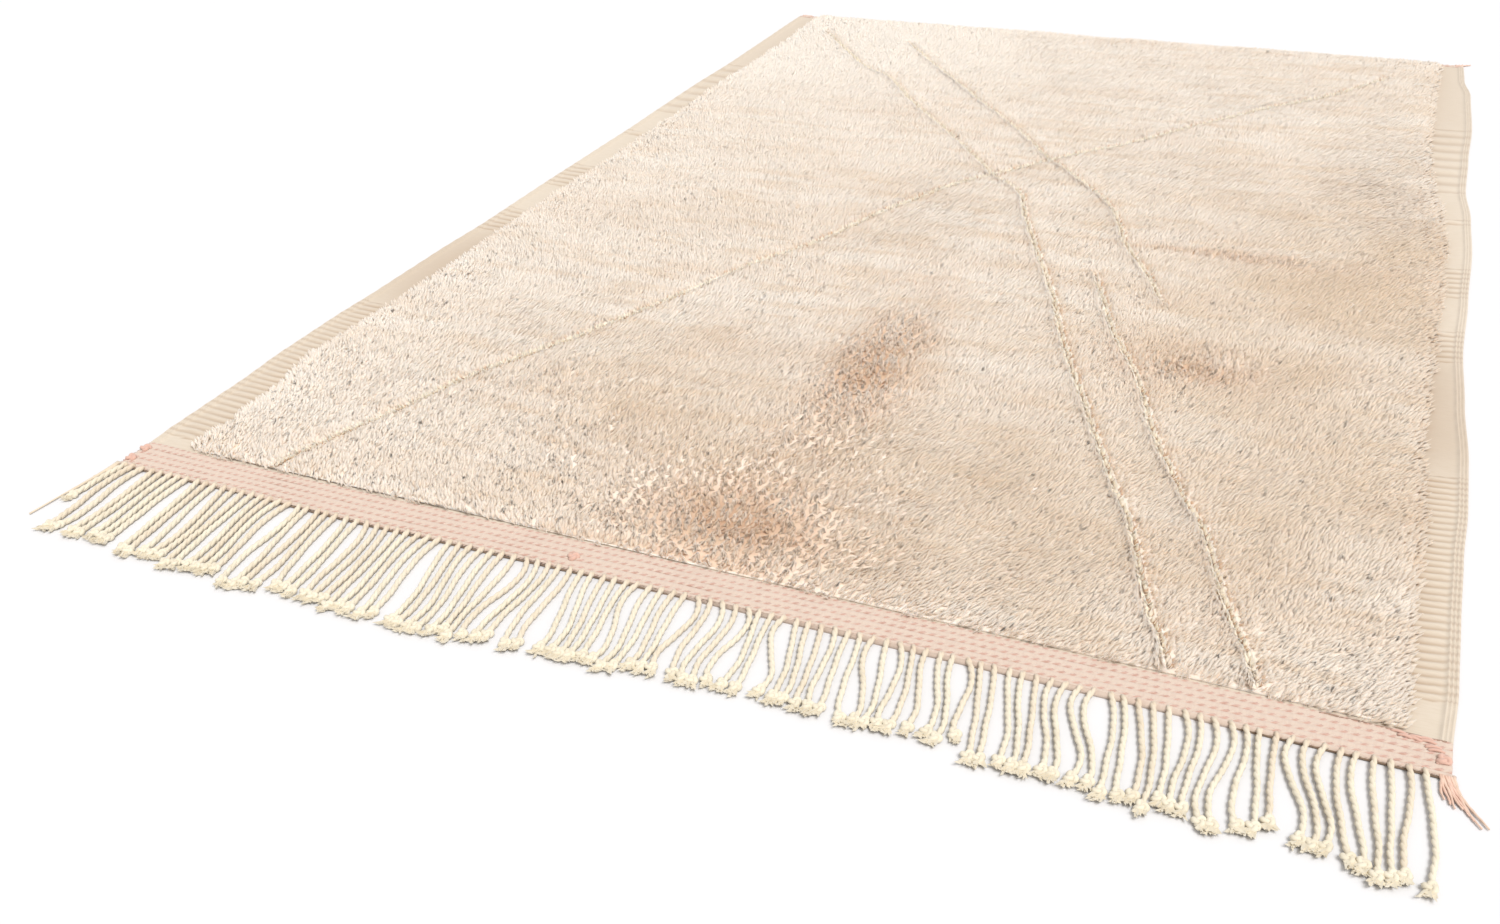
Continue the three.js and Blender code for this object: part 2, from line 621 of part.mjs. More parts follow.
/** A bunch of loose yarn ends: a small bound root with its locks fanned out on the floor. */
function cornerEnds({ name, x, width, locks, away, tipFrom, tipTo, reachFrom, reachTo }) {
  const [west, east] = [x - width / 2, x + width / 2];
  const seamY = away > 0
    ? BACK_END + BACK_HEADING.depth + SEAM_GAP
    : Math.min(stripFront(west), stripFront(east)) + FRINGE.stripDepth;
  const { rootDepth, rootHeight } = LOCK;
  const bound = [0, away * rootDepth].map((depth) => (
    { x, y: seamY + depth, turn: 0, width, height: rootHeight }));
  const pieces = [strand(bound)];
  for (let i = 0; i < locks; i += 1) {
    const share = i / (locks - 1);
    const rootX = THREE.MathUtils.lerp(west + LOCK.width, east - LOCK.width, share);
    const tipX = x + THREE.MathUtils.lerp(tipFrom, tipTo, share);
    const reach = THREE.MathUtils.lerp(reachFrom, reachTo, share) * (0.8 + 0.2 * chance(i, 21));
    const turn = -away * Math.atan2(tipX - rootX, reach);
    pieces.push(strand([0, 0.5, 1].map((part) => ({
      x: THREE.MathUtils.lerp(rootX, tipX, part ** 1.4),
      y: seamY + away * (rootDepth - 2 + part * reach),
      turn: turn * part,
      width: THREE.MathUtils.lerp(LOCK.width, LOCK.tipWidth, part),
      height: THREE.MathUtils.lerp(LOCK.height, LOCK.tipHeight, part),
    }))));
  }
  return meshOf(name, Manifold.union(pieces), COLOURS.ends, 0.9);
}

const rug = new THREE.Group();
rug.add(rugBody(), headingFront(), headingBack(), fringeFront());
rug.add(...CORNER_ENDS.map(cornerEnds));

export default rug;
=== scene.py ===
"""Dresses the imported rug: its pile, side bands, headings, fringe and loose yarn ends.

The tables are in millimetres, in the frame's axes: +X across the rug, +Y along it, away from the
fringe, +Z up, with the origin on the floor under the middle of the cloth. Meshes are in metres.
"""

import math

import bpy
import numpy as np
from mathutils import Matrix


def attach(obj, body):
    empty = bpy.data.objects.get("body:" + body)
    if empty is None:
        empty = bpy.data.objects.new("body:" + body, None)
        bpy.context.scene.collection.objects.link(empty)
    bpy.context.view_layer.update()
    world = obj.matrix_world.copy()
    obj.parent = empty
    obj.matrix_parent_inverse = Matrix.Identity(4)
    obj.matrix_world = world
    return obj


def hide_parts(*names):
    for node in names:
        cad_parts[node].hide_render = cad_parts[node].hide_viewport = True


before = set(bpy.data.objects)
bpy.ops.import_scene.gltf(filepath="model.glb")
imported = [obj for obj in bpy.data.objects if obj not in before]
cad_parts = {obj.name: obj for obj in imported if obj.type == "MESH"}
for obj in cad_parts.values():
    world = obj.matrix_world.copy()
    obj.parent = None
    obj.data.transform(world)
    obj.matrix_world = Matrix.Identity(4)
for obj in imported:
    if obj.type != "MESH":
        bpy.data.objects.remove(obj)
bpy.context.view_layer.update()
MM = 0.001

# ---------------- sizes


def table(columns, rows):
    """A short table with named columns, as arrays."""
    return dict(zip(columns.split(), np.array(rows, float).T))


BACK_END = 1530
GROUND_TOP = 3.4
SEAM = np.arange(-1012, 1013, 92)

# Outer edges of the two side bands, and where the pile begins beside them.
SIDES = table("y left pile_left pile_right right", [
    (-1540, -985, -912, 938, 992), (-1400, -994, -908, 940, 998), (-1250, -996, -912, 943, 999),
    (-1100, -1003, -936, 946, 1001), (-950, -1004, -926, 945, 1006), (-800, -1000, -924, 932, 1006),
    (-600, -999, -922, 939, 999), (-400, -993, -926, 946, 995), (-150, -994, -922, 951, 1002),
    (100, -992, -915, 953, 1008), (300, -990, -918, 946, 1005), (480, -992, -916, 922, 994),
    (700, -993, -919, 908, 998), (950, -988, -912, 909, 1005), (1250, -990, -914, 912, 1001),
    (1400, -992, -918, 916, 985), (1550, -992, -922, 918, 982),
])

# The fringe end: where the strands leave the heading, and where the pile begins behind it.
FRINGE_END = table("x root pile", [
    (-1010, -1543, -1462), (-770, -1546, -1472), (-500, -1556, -1477), (-100, -1558, -1481),
    (250, -1561, -1489), (600, -1568, -1497), (850, -1575, -1502), (1010, -1580, -1510),
])

# Bunches of knots at the tips of the strands: how many there are, and where their middle lies.
BUNCHES = table("knots x y", [
    (1, -988, -1645), (2, -951, -1733), (2, -905, -1730), (3, -859, -1725), (2, -797, -1741),
    (3, -756, -1733), (3, -702, -1749), (3, -655, -1740), (3, -592, -1754), (1, -560, -1753),
    (3, -516, -1741), (3, -464, -1742), (3, -417, -1752), (2, -371, -1750), (4, -312, -1752),
    (3, -253, -1751), (2, -211, -1749), (1, -188, -1735), (2, -149, -1739), (3, -96, -1740),
    (3, -52, -1731), (2, -13, -1738), (2, 23, -1729), (1, 48, -1728), (3, 93, -1727),
    (2, 133, -1718), (1, 161, -1720), (1, 190, -1718), (2, 217, -1724), (1, 243, -1727),
    (2, 268, -1720), (3, 319, -1727), (2, 356, -1728), (1, 384, -1724), (2, 415, -1721),
    (1, 444, -1715), (2, 475, -1738), (1, 501, -1738), (2, 526, -1736), (2, 559, -1732),
    (1, 585, -1733), (1, 605, -1740), (1, 625, -1746), (2, 650, -1745), (1, 671, -1752),
    (2, 692, -1740), (1, 715, -1741), (2, 745, -1757), (2, 783, -1745), (1, 807, -1733),
    (1, 836, -1739), (2, 858, -1752), (2, 899, -1761), (2, 927, -1770), (1, 950, -1761),
    (1, 972, -1773),
])

# Groups of raised weft ribs on the side bands; `tan` darkens the valleys between them, partly tan
# weft and partly painted shade.
RIB_GROUPS = table("start pitch count height tan", [
    (-1425, 17.5, 33, 3.2, 1.0), (-430, 23, 6, 2.6, 0.95), (-130, 25, 6, 2.4, 0.95),
    (276, 30, 1, 4.5, 0.9), (490, 60, 8, 3.2, 0.6),
])

# Lines drawn in the pile. The cream yarn lies to the left of a line (1) or to its right (-1).
LINES = [
    (-1, [(-748, -1500), (-705, -1364), (-657, -1235), (-601, -1070), (-475, -801), (-346, -483),
          (-261, -310), (-186, -98), (-97, 108), (-16, 222), (91, 378), (235, 552), (377, 750),
          (528, 960), (681, 1142), (796, 1338)]),
    (1, [(668, -1510), (641, -1434), (613, -1366), (557, -1178), (518, -1088), (455, -925),
         (400, -781), (328, -592), (270, -408), (203, -235), (122, -18), (72, 131), (-16, 222),
         (-51, 284), (-200, 499), (-362, 725), (-487, 915), (-595, 1009), (-825, 1340)]),
    (1, [(477, -384), (460, -351), (422, -245), (356, -112), (318, 6), (270, 124), (135, 317),
         (84, 375), (-10, 528), (-118, 684), (-187, 773), (-292, 926), (-418, 1099), (-546, 1291)]),
    (1, [(776, -1512), (746, -1424), (708, -1325), (657, -1155), (622, -1086), (577, -979),
         (531, -861), (483, -702), (413, -543), (377, -439), (323, -275)]),
]

# Clumps where the pile has parted and lies lower; `rust` is how tan the yarn is there, and it also
# sets painted shade at the roots and on the bed in these hollows.
PARTINGS = table("x y across along depth rust", [
    (40, -800, 85, 280, 3.2, 0.9), (10, -1370, 160, 120, 2.6, 0.9), (565, -640, 120, 90, 2.4, 0.8),
    (590, -100, 220, 36, 2.6, 0.7), (-560, -1250, 150, 90, -2, 0), (-300, 700, 260, 180, 1.6, 0.15),
])

# Broad washes over the pile: of golden wool, and pale washes that are partly bleached wool and
# partly painted highlight where the light falls brighter.
WASHES = table("x y across along gold bleach", [
    (760, -350, 330, 620, 0.85, 0), (300, -1250, 750, 260, 0.6, 0), (-250, 1150, 1300, 420, 0, 0.3),
    (-880, -1300, 360, 330, 0, 0.5), (560, -520, 120, 130, 0.4, 0), (860, -1330, 120, 120, -0.1, 0),
    (-850, -200, 330, 1100, -0.4, 0.3), (760, -860, 230, 200, 0.5, 0), (-300, 300, 160, 130, 0, 0.4),
    (-300, -1050, 280, 260, 0.45, 0), (850, 0, 200, 250, 0.3, 0), (-800, 950, 200, 200, 0, 0.3),
    (220, -1110, 300, 250, 0.2, 0),
])

PILE = {"height": 18, "spacing": 6.0, "jitter": 0.42, "strips": 4, "root_drop": 4.0,
        "crease": 3.0, "groove_depth": 5.0, "groove_reach": 8.0, "slope": 34,
        "lock_width": 6.8, "lock_length": 17.0}
PILE_BED = {"columns": 122, "row_share": 0.005, "base": 5.2, "under": 3.0}
LINE_YARN = {"offsets": (1.6, 3.6), "spacing": 4.6, "fade": 60}
SIDE_BAND = {"step": 3.5, "height": 4.3, "lap": 22, "under": 0.6}
FRINGE = {"first_x": -975, "last_x": 962, "sway": 20, "room": 13.4, "depth": 5}
STRAND = {"knot_width": 13, "knot_gap": 1.4, "ply": 3.15, "thinning": 0.3, "offset": 1.4,
          "turn": 27, "height": 5.2}
KNOT = {"loops": (2.3, 2.3, 1.7), "yarn": 3.5, "height": 5.6}
BRUSH = {"ends": 13, "width": 5.4, "length": 13.5, "root_spread": (5.5, 3.0, 1.2),
         "fan": (0.95, 0.3, 0.09)}
HEADING = {"rows": 4, "row": 16, "last_row": 9, "ends": (-988, 992)}
HEADING_DEPTH = HEADING["rows"] + HEADING["last_row"] / HEADING["row"]

# What is loose on the front heading; a knot has its place across the rug and its share of the band.
HEADING_SLIT = (842, 985)
HEADING_WRAPS = {"count": 9, "first_x": 930, "pitch": 6, "half": 9}
HEADING_KNOTS = [(-169, 0.62), (-996, 0.3), (-984, 0.75), (986, 0.6)]

BACK_HEADING = {"depth": 15, "ends": (-990, 981)}
CORD = {"count": 3, "width": 5, "height": 6.6, "valley": 4.4}

# Loose yarn ends at the corners, as in the frame: where each bunch is rooted and where it ends.
LOOSE = {"inset": 3.4, "root": 2.4, "thinning": 1.3, "height": 2.9}
CORNER_ENDS = [
    ("ends_front_right", 986, 20, 8, -1, (-2, 44), (38, 78)),
    ("ends_front_left", -992, 12, 3, -1, (-20, -8), (176, 44)),
    ("ends_back_right", 968, 18, 5, 1, (-6, 32), (16, 26)),
    ("ends_back_left", -976, 20, 5, 1, (-14, 16), (18, 14)),
]

# ---------------- numbers


def chance(index, use):
    """A repeatable number from 0 to 1 for each index and use."""
    wave = np.sin(index * 12.9898 + use * 78.233) * 43758.5453
    return wave - np.floor(wave)


def ease(share):
    share = np.clip(share, 0, 1)
    return share * share * (3 - 2 * share)


def along(rows, key, column, at):
    """A table's column at places between its rows, eased from row to row."""
    keys = rows[key]
    low = np.clip(np.searchsorted(keys, at) - 1, 0, len(keys) - 2)
    share = ease((at - keys[low]) / (keys[low + 1] - keys[low]))
    return rows[column][low] * (1 - share) + rows[column][low + 1] * share


def side(column, y):
    return along(SIDES, "y", column, y)


def seam(column, x):
    """A seam across the rug, straight between its stations."""
    return np.interp(x, SEAM, along(FRINGE_END, "x", column, SEAM))


def ground_front(x):
    return seam("pile", x) - 4


def drift(x, y, size, seed):
    """Smooth noise from -1 to 1 over the cloth, with features about `size` across."""
    count = 97
    lattice = np.random.default_rng(seed).uniform(-1, 1, (count, count))
    u, v = x / size + 41.3, y / size + 47.7
    i, j = np.floor(u).astype(int), np.floor(v).astype(int)
    a, b = ease(u - i), ease(v - j)
    i0, i1, j0, j1 = i % count, (i + 1) % count, j % count, (j + 1) % count
    near = lattice[i0, j0] * (1 - a) + lattice[i1, j0] * a
    far = lattice[i0, j1] * (1 - a) + lattice[i1, j1] * a
    return near * (1 - b) + far * b


def spots(rows, x, y, column):
    """The sum over a table's spots of one of their columns, fading out from each spot."""
    total = np.zeros_like(x)
    for i in range(len(rows["x"])):
        row = {name: values[i] for name, values in rows.items()}
        across = (x - row["x"]) / row["across"]
        lengthways = (y - row["y"]) / row["along"]
        total += row[column] * np.exp(-(across ** 2) - lengthways ** 2)
    return total


def partings(x, y, column):
    return spots(PARTINGS, x, y, column)


def pile_height(x, y):
    swell = 1.1 * np.sin(x / 131 + 0.6) * np.cos(y / 173) + 0.9 * np.sin(x / 57 + y / 83)
    return PILE["height"] + swell - partings(x, y, "depth")


def rounded(points):
    """A polyline through the points with its corners rounded off."""
    points = np.array(points, float)
    padded = np.vstack([2 * points[0] - points[1], points, 2 * points[-1] - points[-2]])
    t = np.linspace(0, 1, 4, endpoint=False)[:, None]
    parts = []
    for a, b, c, d in zip(padded, padded[1:], padded[2:], padded[3:]):
        curve = 2 * b + (c - a) * t + (2 * a - 5 * b + 4 * c - d) * t**2
        parts.append((curve + (3 * b - a - 3 * c + d) * t**3) / 2)
    return np.vstack(parts + [points[-1:]])


def from_lines(x, y):
    """How far each place is from the nearest drawn line, positive on its cream side, and the
    direction straight away from that line."""
    nearest = np.full_like(x, 1e6)
    signed = np.full_like(x, 1e6)
    away = np.zeros((2, *x.shape))
    for cream_side, points in LINES:
        path = rounded(points)
        for (ax, ay), (bx, by) in zip(path, path[1:]):
            length = math.hypot(bx - ax, by - ay)
            tx, ty = (bx - ax) / length, (by - ay) / length
            run = np.clip((x - ax) * tx + (y - ay) * ty, 0, length)
            dx, dy = x - ax - run * tx, y - ay - run * ty
            distance = np.hypot(dx, dy)
            closer = distance < nearest
            nearest[closer] = distance[closer]
            turn = np.sign(tx * dy - ty * dx) * cream_side
            signed[closer] = (distance * turn)[closer]
            away[0][closer] = (dx / (distance + 1e-6))[closer]
            away[1][closer] = (dy / (distance + 1e-6))[closer]
    return signed, away


# ---------------- node trees


class Wire:
    """A node's output. Python's operators on it add Math nodes to its tree."""

    def __init__(self, recipe, socket):
        self.recipe = recipe
        self.socket = socket

    def math(self, operation, first, second):
        return self.recipe.node("ShaderNodeMath", {"operation": operation}, {0: first, 1: second})

    def __add__(self, other):
        return self.math("ADD", self, other)

    def __radd__(self, other):
        return self.math("ADD", other, self)

    def __mul__(self, other):
        return self.math("MULTIPLY", self, other)

    def __rmul__(self, other):
        return self.math("MULTIPLY", other, self)


class Recipe:
    """A node tree under construction, for a finish or for what repeats."""

    def __init__(self, tree):
        self.tree = tree

    def node(self, kind, settings=None, inputs=None, output=0):
        """Adds a node: its settings first, then its sockets' values and links."""
        made = self.tree.nodes.new(kind)
        for name, value in (settings or {}).items():
            setattr(made, name, value)
        for name, value in (inputs or {}).items():
            if isinstance(value, Wire):
                self.tree.links.new(value.socket, made.inputs[name])
            else:
                made.inputs[name].default_value = value
        return Wire(self, made.outputs[output]) if len(made.outputs) else None


def colour(red, green, blue):
    return (red, green, blue, 1.0)


class Finish(Recipe):
    """A wool finish, mixed from colours by masks over the piece."""

    def __init__(self, name):
        self.material = bpy.data.materials.new(name)
        self.material.use_nodes = True
        super().__init__(self.material.node_tree)
        self.tree.nodes.clear()
        self.place = self.node("ShaderNodeTexCoord", output="Object")

    def attribute(self, name):
        return self.node("ShaderNodeAttribute", {"attribute_name": name}, output="Fac")

    def noise(self, scale, detail=2.0, stretch=(1, 1, 1)):
        mapped = self.node("ShaderNodeMapping", {}, {"Vector": self.place, "Scale": stretch})
        sizes = {"Vector": mapped, "Scale": scale, "Detail": detail}
        return self.node("ShaderNodeTexNoise", {}, sizes, "Fac")

    def masked(self, value, low, high):
        """0 below low, 1 above high and eased between."""
        sizes = {"Value": value, "From Min": low, "From Max": high}
        return self.node("ShaderNodeMapRange", {"interpolation_type": "SMOOTHSTEP"}, sizes)

    def mix(self, share, first, second, blend="MIX"):
        kinds = {"data_type": "RGBA", "blend_type": blend}
        return self.node("ShaderNodeMix", kinds, {0: share, 6: first, 7: second}, 2)

    def finish(self, base, height, strength, distance, roughness=0.92, sheen=0.25, glow=0.0):
        bump = self.node("ShaderNodeBump", {}, {
            "Height": height, "Strength": strength, "Distance": distance})
        shader = self.node("ShaderNodeBsdfPrincipled", {}, {
            "Base Color": base, "Roughness": roughness, "Normal": bump,
            "Sheen Weight": sheen, "Sheen Roughness": 0.6, "Specular IOR Level": 0.1,
            "Subsurface Weight": glow, "Subsurface Radius": (0.8, 0.9, 1.0),
            "Subsurface Scale": 0.005})
        self.node("ShaderNodeOutputMaterial", {}, {"Surface": shader})
        return self.material


def pile_wool():
    """The pile's yarn: peach cream with bands across the rug, tan clumps and cream lines, pale
    washes that are partly painted highlight, and painted shade at the locks' roots.
    """
    wool = Finish("pile_yarn")
    bands = wool.noise(1.0, 3.0, (0.9, 9.0, 1.0))
    clouds = wool.noise(1.0, 3.0, (5.0, 26.0, 1.0))
    flecks = wool.noise(46.0, 2.0)
    base = wool.mix(
        wool.masked(bands, 0.38, 0.62), colour(0.865, 0.745, 0.63), colour(0.91, 0.815, 0.715))
    base = wool.mix(wool.masked(clouds, 0.46, 0.68) * 0.8, base, colour(0.81, 0.655, 0.51))
    base = wool.mix(wool.masked(flecks, 0.56, 0.8) * 0.35, base, colour(0.86, 0.65, 0.46))
    # The pale wash mixed in here is partly bleached wool and partly painted highlight.
    for kind, tint in (("gold", (0.745, 0.585, 0.44)), ("rust", (0.82, 0.575, 0.40)),
                       ("bleach", (0.965, 0.88, 0.78)), ("cream", (0.96, 0.87, 0.68))):
        base = wool.mix(wool.attribute(kind), base, colour(*tint))
    shade = wool.attribute("tone") * 0.22 + 0.715
    shaded = wool.node("ShaderNodeCombineColor", {}, {0: shade, 1: shade, 2: shade})
    base = wool.mix(1.0, base, shaded, "MULTIPLY")
    # Painted shade: each lock darkens and warms towards its root, where the locks shade each other,
    # and turns dark brown at the roots where rust is set, in the parted hollows.
    depth = wool.mix(wool.attribute("rust"), colour(1.0, 0.93, 0.84), colour(0.42, 0.30, 0.22))
    foot = wool.mix(1.0, base, depth, "MULTIPLY")
    base = wool.mix(wool.attribute("tip"), foot, base)
    fibres = wool.noise(900.0, 2.0)
    return wool.finish(base, fibres, 0.25, 0.0008, sheen=0.0, glow=1.0)


def woven_wool(name, pale, deep, tan, grain=(60, 330, 60)):
    """Flat-woven yarn: pale, with deeper weft lines, and tan where `rust` is set."""
    wool = Finish(name)
    weft = wool.noise(1.0, 2.0, grain)
    clouds = wool.noise(9.0, 2.0)
    base = wool.mix(wool.masked(weft, 0.35, 0.7) * 0.6, colour(*pale), colour(*deep))
    base = wool.mix(wool.masked(clouds, 0.5, 0.8) * 0.4, base, colour(*deep))
    base = wool.mix(wool.attribute("rust"), base, colour(*tan))
    fibres = wool.noise(700.0, 2.0)
    return wool.finish(base, weft * 0.7 + fibres * 0.3, 0.35, 0.0012)


def plied_wool(name, pale, deep, blush):
    """Plied or twisted yarn: pale, deeper in places, with a blush where `rust` is set."""
    wool = Finish(name)
    clouds = wool.noise(60.0, 2.0)
    base = wool.mix(wool.masked(clouds, 0.4, 0.75), colour(*pale), colour(*deep))
    base = wool.mix(wool.attribute("rust"), base, colour(*blush))
    fibres = wool.noise(800.0, 2.0)
    return wool.finish(base, fibres, 0.3, 0.0008)


PILE_WOOL = pile_wool()
SIDE_WOOL = woven_wool(
    "side_band_weave", (0.605, 0.52, 0.42), (0.56, 0.475, 0.37), (0.38, 0.27, 0.18))
HEADING_WOOL = woven_wool(
    "heading_weave", (0.585, 0.47, 0.385), (0.54, 0.41, 0.335), (0.58, 0.52, 0.42), (330, 60, 60))
TWINED_WOOL = plied_wool(
    "twined_weft", (0.53, 0.335, 0.27), (0.47, 0.28, 0.22), (0.60, 0.48, 0.395))
WARP_YARN = plied_wool("warp_yarn", (0.71, 0.64, 0.505), (0.645, 0.57, 0.435), (0.58, 0.43, 0.31))
# Painted shade: the dark yarn of the creases along the drawn lines.
CREASE_SHADOW_WOOL = plied_wool("crease_shadow_wool", (0.50, 0.35, 0.23), (0.40, 0.27, 0.17), (0.44, 0.29, 0.18))
LOOSE_YARN = plied_wool("loose_yarn", (0.70, 0.47, 0.37), (0.60, 0.37, 0.28), (0.66, 0.56, 0.42))
# Painted shadow: dark yarn for the shade under the front heading's edge and in its slit; its blush
# is the reddish wraps and knots.
SHADOW_AND_WRAP_YARN = plied_wool("shadow_and_wrap_yarn", (0.22, 0.15, 0.10), (0.15, 0.10, 0.065), (0.60, 0.38, 0.30))

# ---------------- meshes


class Shape:
    """Vertices in millimetres, faces, and numbers at each vertex, gathered for one piece."""

    def __init__(self, *attributes):
        self.vertices = []
        self.faces = []
        self.values = {name: [] for name in attributes}
        self.count = 0

    def add(self, vertices, faces, **values):
        self.faces.extend([[corner + self.count for corner in face] for face in faces])
        self.vertices.append(vertices)
        self.count += len(vertices)
        for name, gathered in self.values.items():
            value = values.get(name, 0.0)
            gathered.append(np.broadcast_to(value, (len(vertices),)))

    def piece(self, name, finish, smooth=True):
        mesh = bpy.data.meshes.new(name)
        mesh.from_pydata((np.vstack(self.vertices) * MM).tolist(), [], self.faces)
        for attribute, gathered in self.values.items():
            layer = mesh.attributes.new(attribute, "FLOAT", "POINT")
            layer.data.foreach_set("value", np.concatenate(gathered).astype(np.float32))
        if smooth:
            mesh.shade_smooth()
        mesh.materials.append(finish)
        made = bpy.data.objects.new(name, mesh)
        bpy.context.scene.collection.objects.link(made)
        return made


def relief(top, floor):
    """A closed slab under a grid of places, rows going along +Y and columns along +X."""
    rows, columns, _ = top.shape
    vertices = top.reshape(-1, 3)
    left, right = top[:, 0].copy(), top[:, -1].copy()
    left[:, 2] = floor
    right[:, 2] = floor
    at = np.arange(rows * columns).reshape(rows, columns)
    low_left = rows * columns + np.arange(rows)
    low_right = low_left + rows
    grid = [at[:-1, :-1], at[:-1, 1:], at[1:, 1:], at[1:, :-1]]
    faces = np.stack(grid, axis=-1).reshape(-1, 4).tolist()
    for r in range(rows - 1):
        faces.append([at[r, 0], at[r + 1, 0], low_left[r + 1], low_left[r]])
        faces.append([at[r, -1], low_right[r], low_right[r + 1], at[r + 1, -1]])
        faces.append([low_left[r], low_left[r + 1], low_right[r + 1], low_right[r]])
    faces.append([low_left[0], low_right[0], *at[0, ::-1]])
    faces.append([*at[-1], low_right[-1], low_left[-1]])
    return np.vstack([vertices, left, right]), faces


def positions(x, y, z):
    return np.stack(np.broadcast_arrays(x, y, z), axis=-1)


def unit(vectors):
    return vectors / np.linalg.norm(vectors, axis=-1, keepdims=True)


def beside_and_above(path):
    """At each place of a path that lies more or less flat: the directions across it and up."""
    ahead = unit(np.gradient(path, axis=0))
    across = unit(np.cross(ahead, [0.0, 0.0, 1.0]))
    return across, np.cross(across, ahead)


def tube(path, radius, sides, flat=1.0, lobes=0.0, turn=None):
    """A closed tube along a path. Lobes swell it on two sides, which turn with `turn`."""
    across, above = beside_and_above(path)
    radius = np.broadcast_to(radius, (len(path),))[:, None, None]
    angle = np.arange(sides) / sides * 2 * math.pi
    spin = np.zeros(len(path)) if turn is None else turn
    wide = 1 + lobes * np.cos(2 * (angle[None, :] - spin[:, None]))
    out = np.cos(angle)[None, :, None] * across[:, None]
    up = np.sin(angle)[None, :, None] * above[:, None] * flat
    vertices = path[:, None] + radius * wide[:, :, None] * (out + up)
    at = np.arange(len(path) * sides).reshape(len(path), sides)
    after = np.roll(at, -1, axis=1)
    grid = [at[:-1], at[1:], after[1:], after[:-1]]
    faces = np.stack(grid, axis=-1).reshape(-1, 4).tolist()
    faces.append(at[0].tolist())
    faces.append(at[-1, ::-1].tolist())
    return vertices.reshape(-1, 3), faces


def ring(path, radius, sides):
    """A tube along a closed path."""
    ahead = unit(np.roll(path, -1, axis=0) - np.roll(path, 1, axis=0))
    across = unit(np.cross(ahead, [0.05, 0.03, 1.0]))
    above = np.cross(across, ahead)
    angle = np.arange(sides) / sides * 2 * math.pi
    out = np.cos(angle)[None, :, None] * across[:, None]
    up = np.sin(angle)[None, :, None] * above[:, None]
    vertices = path[:, None] + radius * (out + up)
    at = np.arange(len(path) * sides).reshape(len(path), sides)
    ahead_at, after = np.roll(at, -1, axis=0), np.roll(at, -1, axis=1)
    both = np.roll(ahead_at, -1, axis=1)
    faces = np.stack([at, ahead_at, both, after], axis=-1).reshape(-1, 4).tolist()
    return vertices.reshape(-1, 3), faces


def floor_plan_map(made):
    """A map seen from above, a little askew so that no upright face is lost in it."""
    mesh = made.data
    places = np.empty(len(mesh.vertices) * 3)
    mesh.vertices.foreach_get("co", places)
    places = places.reshape(-1, 3)
    flat = places[:, :2] + places[:, 2:] * np.array([0.31, 0.23])
    flat = (flat - flat.min(axis=0)) / np.ptp(flat, axis=0)
    corners = np.empty(len(mesh.loops), int)
    mesh.loops.foreach_get("vertex_index", corners)
    layer = mesh.uv_layers.new(name="OFBake")
    layer.data.foreach_set("uv", (flat[corners] * 0.996 + 0.002).ravel())


# ---------------- locks on points


def lock_shape(name, vertices, faces, tips):
    """The one small mesh that is repeated, with `tip` from 0 at its root to 1 at its tip."""
    shape = Shape("tip")
    shape.add(np.array(vertices, float) / MM, faces, tip=np.array(tips))
    made = shape.piece(name, None)
    made.data.materials.clear()
    bpy.context.scene.collection.objects.unlink(made)
    return made


def lock_tree():
    """Geometry Nodes: one lock on each point, along its `lean`, then made real."""
    tree = bpy.data.node_groups.new("locks_on_points", "GeometryNodeTree")
    for name, kind in (
        ("Geometry", "Geometry"), ("Lock", "Object"), ("Width", "Float"), ("Length", "Float"),
        ("Splay", "Float"), ("Seed", "Int"), ("Finish", "Material"),
    ):
        tree.interface.new_socket(name, in_out="INPUT", socket_type=f"NodeSocket{kind}")
    tree.interface.new_socket("Geometry", in_out="OUTPUT", socket_type="NodeSocketGeometry")
    recipe = Recipe(tree)
    entry = tree.nodes.new("NodeGroupInput")
    given = {socket.name: Wire(recipe, socket) for socket in entry.outputs if socket.name}
    points = recipe.node("GeometryNodeMeshToPoints", {}, {"Mesh": given["Geometry"]})
    lock = recipe.node("GeometryNodeObjectInfo", {}, {"Object": given["Lock"]}, "Geometry")

    def random(low, high, use):
        return recipe.node("FunctionNodeRandomValue", {"data_type": "FLOAT"},
                           {2: low, 3: high, "Seed": given["Seed"] + float(use)}, 1)

    def named(name, kind):
        return recipe.node("GeometryNodeInputNamedAttribute", {"data_type": kind}, {"Name": name})

    lean = named("lean", "FLOAT_VECTOR")
    upright = recipe.node(
        "FunctionNodeAlignRotationToVector", {"axis": "Z"}, {"Vector": lean})
    facing = recipe.node("FunctionNodeAlignRotationToVector", {"axis": "X", "pivot_axis": "Z"},
                         {"Rotation": upright, "Vector": (0.05, 0.02, 1.0)})
    splay = given["Splay"]
    euler = recipe.node("ShaderNodeCombineXYZ", {}, {
        "X": splay * random(-0.18, 0.18, 1), "Y": splay * random(-0.09, 0.09, 2),
        "Z": splay * random(-0.35, 0.35, 3)})
    twist = recipe.node("FunctionNodeEulerToRotation", {}, {"Euler": euler})
    turned = recipe.node("FunctionNodeRotateRotation", {"rotation_space": "LOCAL"},
                         {"Rotation": facing, "Rotate By": twist})
    width = given["Width"] * random(0.85, 1.25, 4)
    length = given["Length"] * named("tall", "FLOAT") * random(0.88, 1.12, 5)
    size = recipe.node("ShaderNodeCombineXYZ", {}, {"X": width, "Y": width, "Z": length})
    placed = recipe.node("GeometryNodeInstanceOnPoints", {}, {
        "Points": points, "Instance": lock, "Rotation": turned, "Scale": size})
    real = recipe.node("GeometryNodeRealizeInstances", {}, {"Geometry": placed})
    done = recipe.node("GeometryNodeSetMaterial", {}, {
        "Geometry": real, "Material": given["Finish"]})
    recipe.node("NodeGroupOutput", {}, {"Geometry": done})
    return tree


LOCK_TREE = lock_tree()


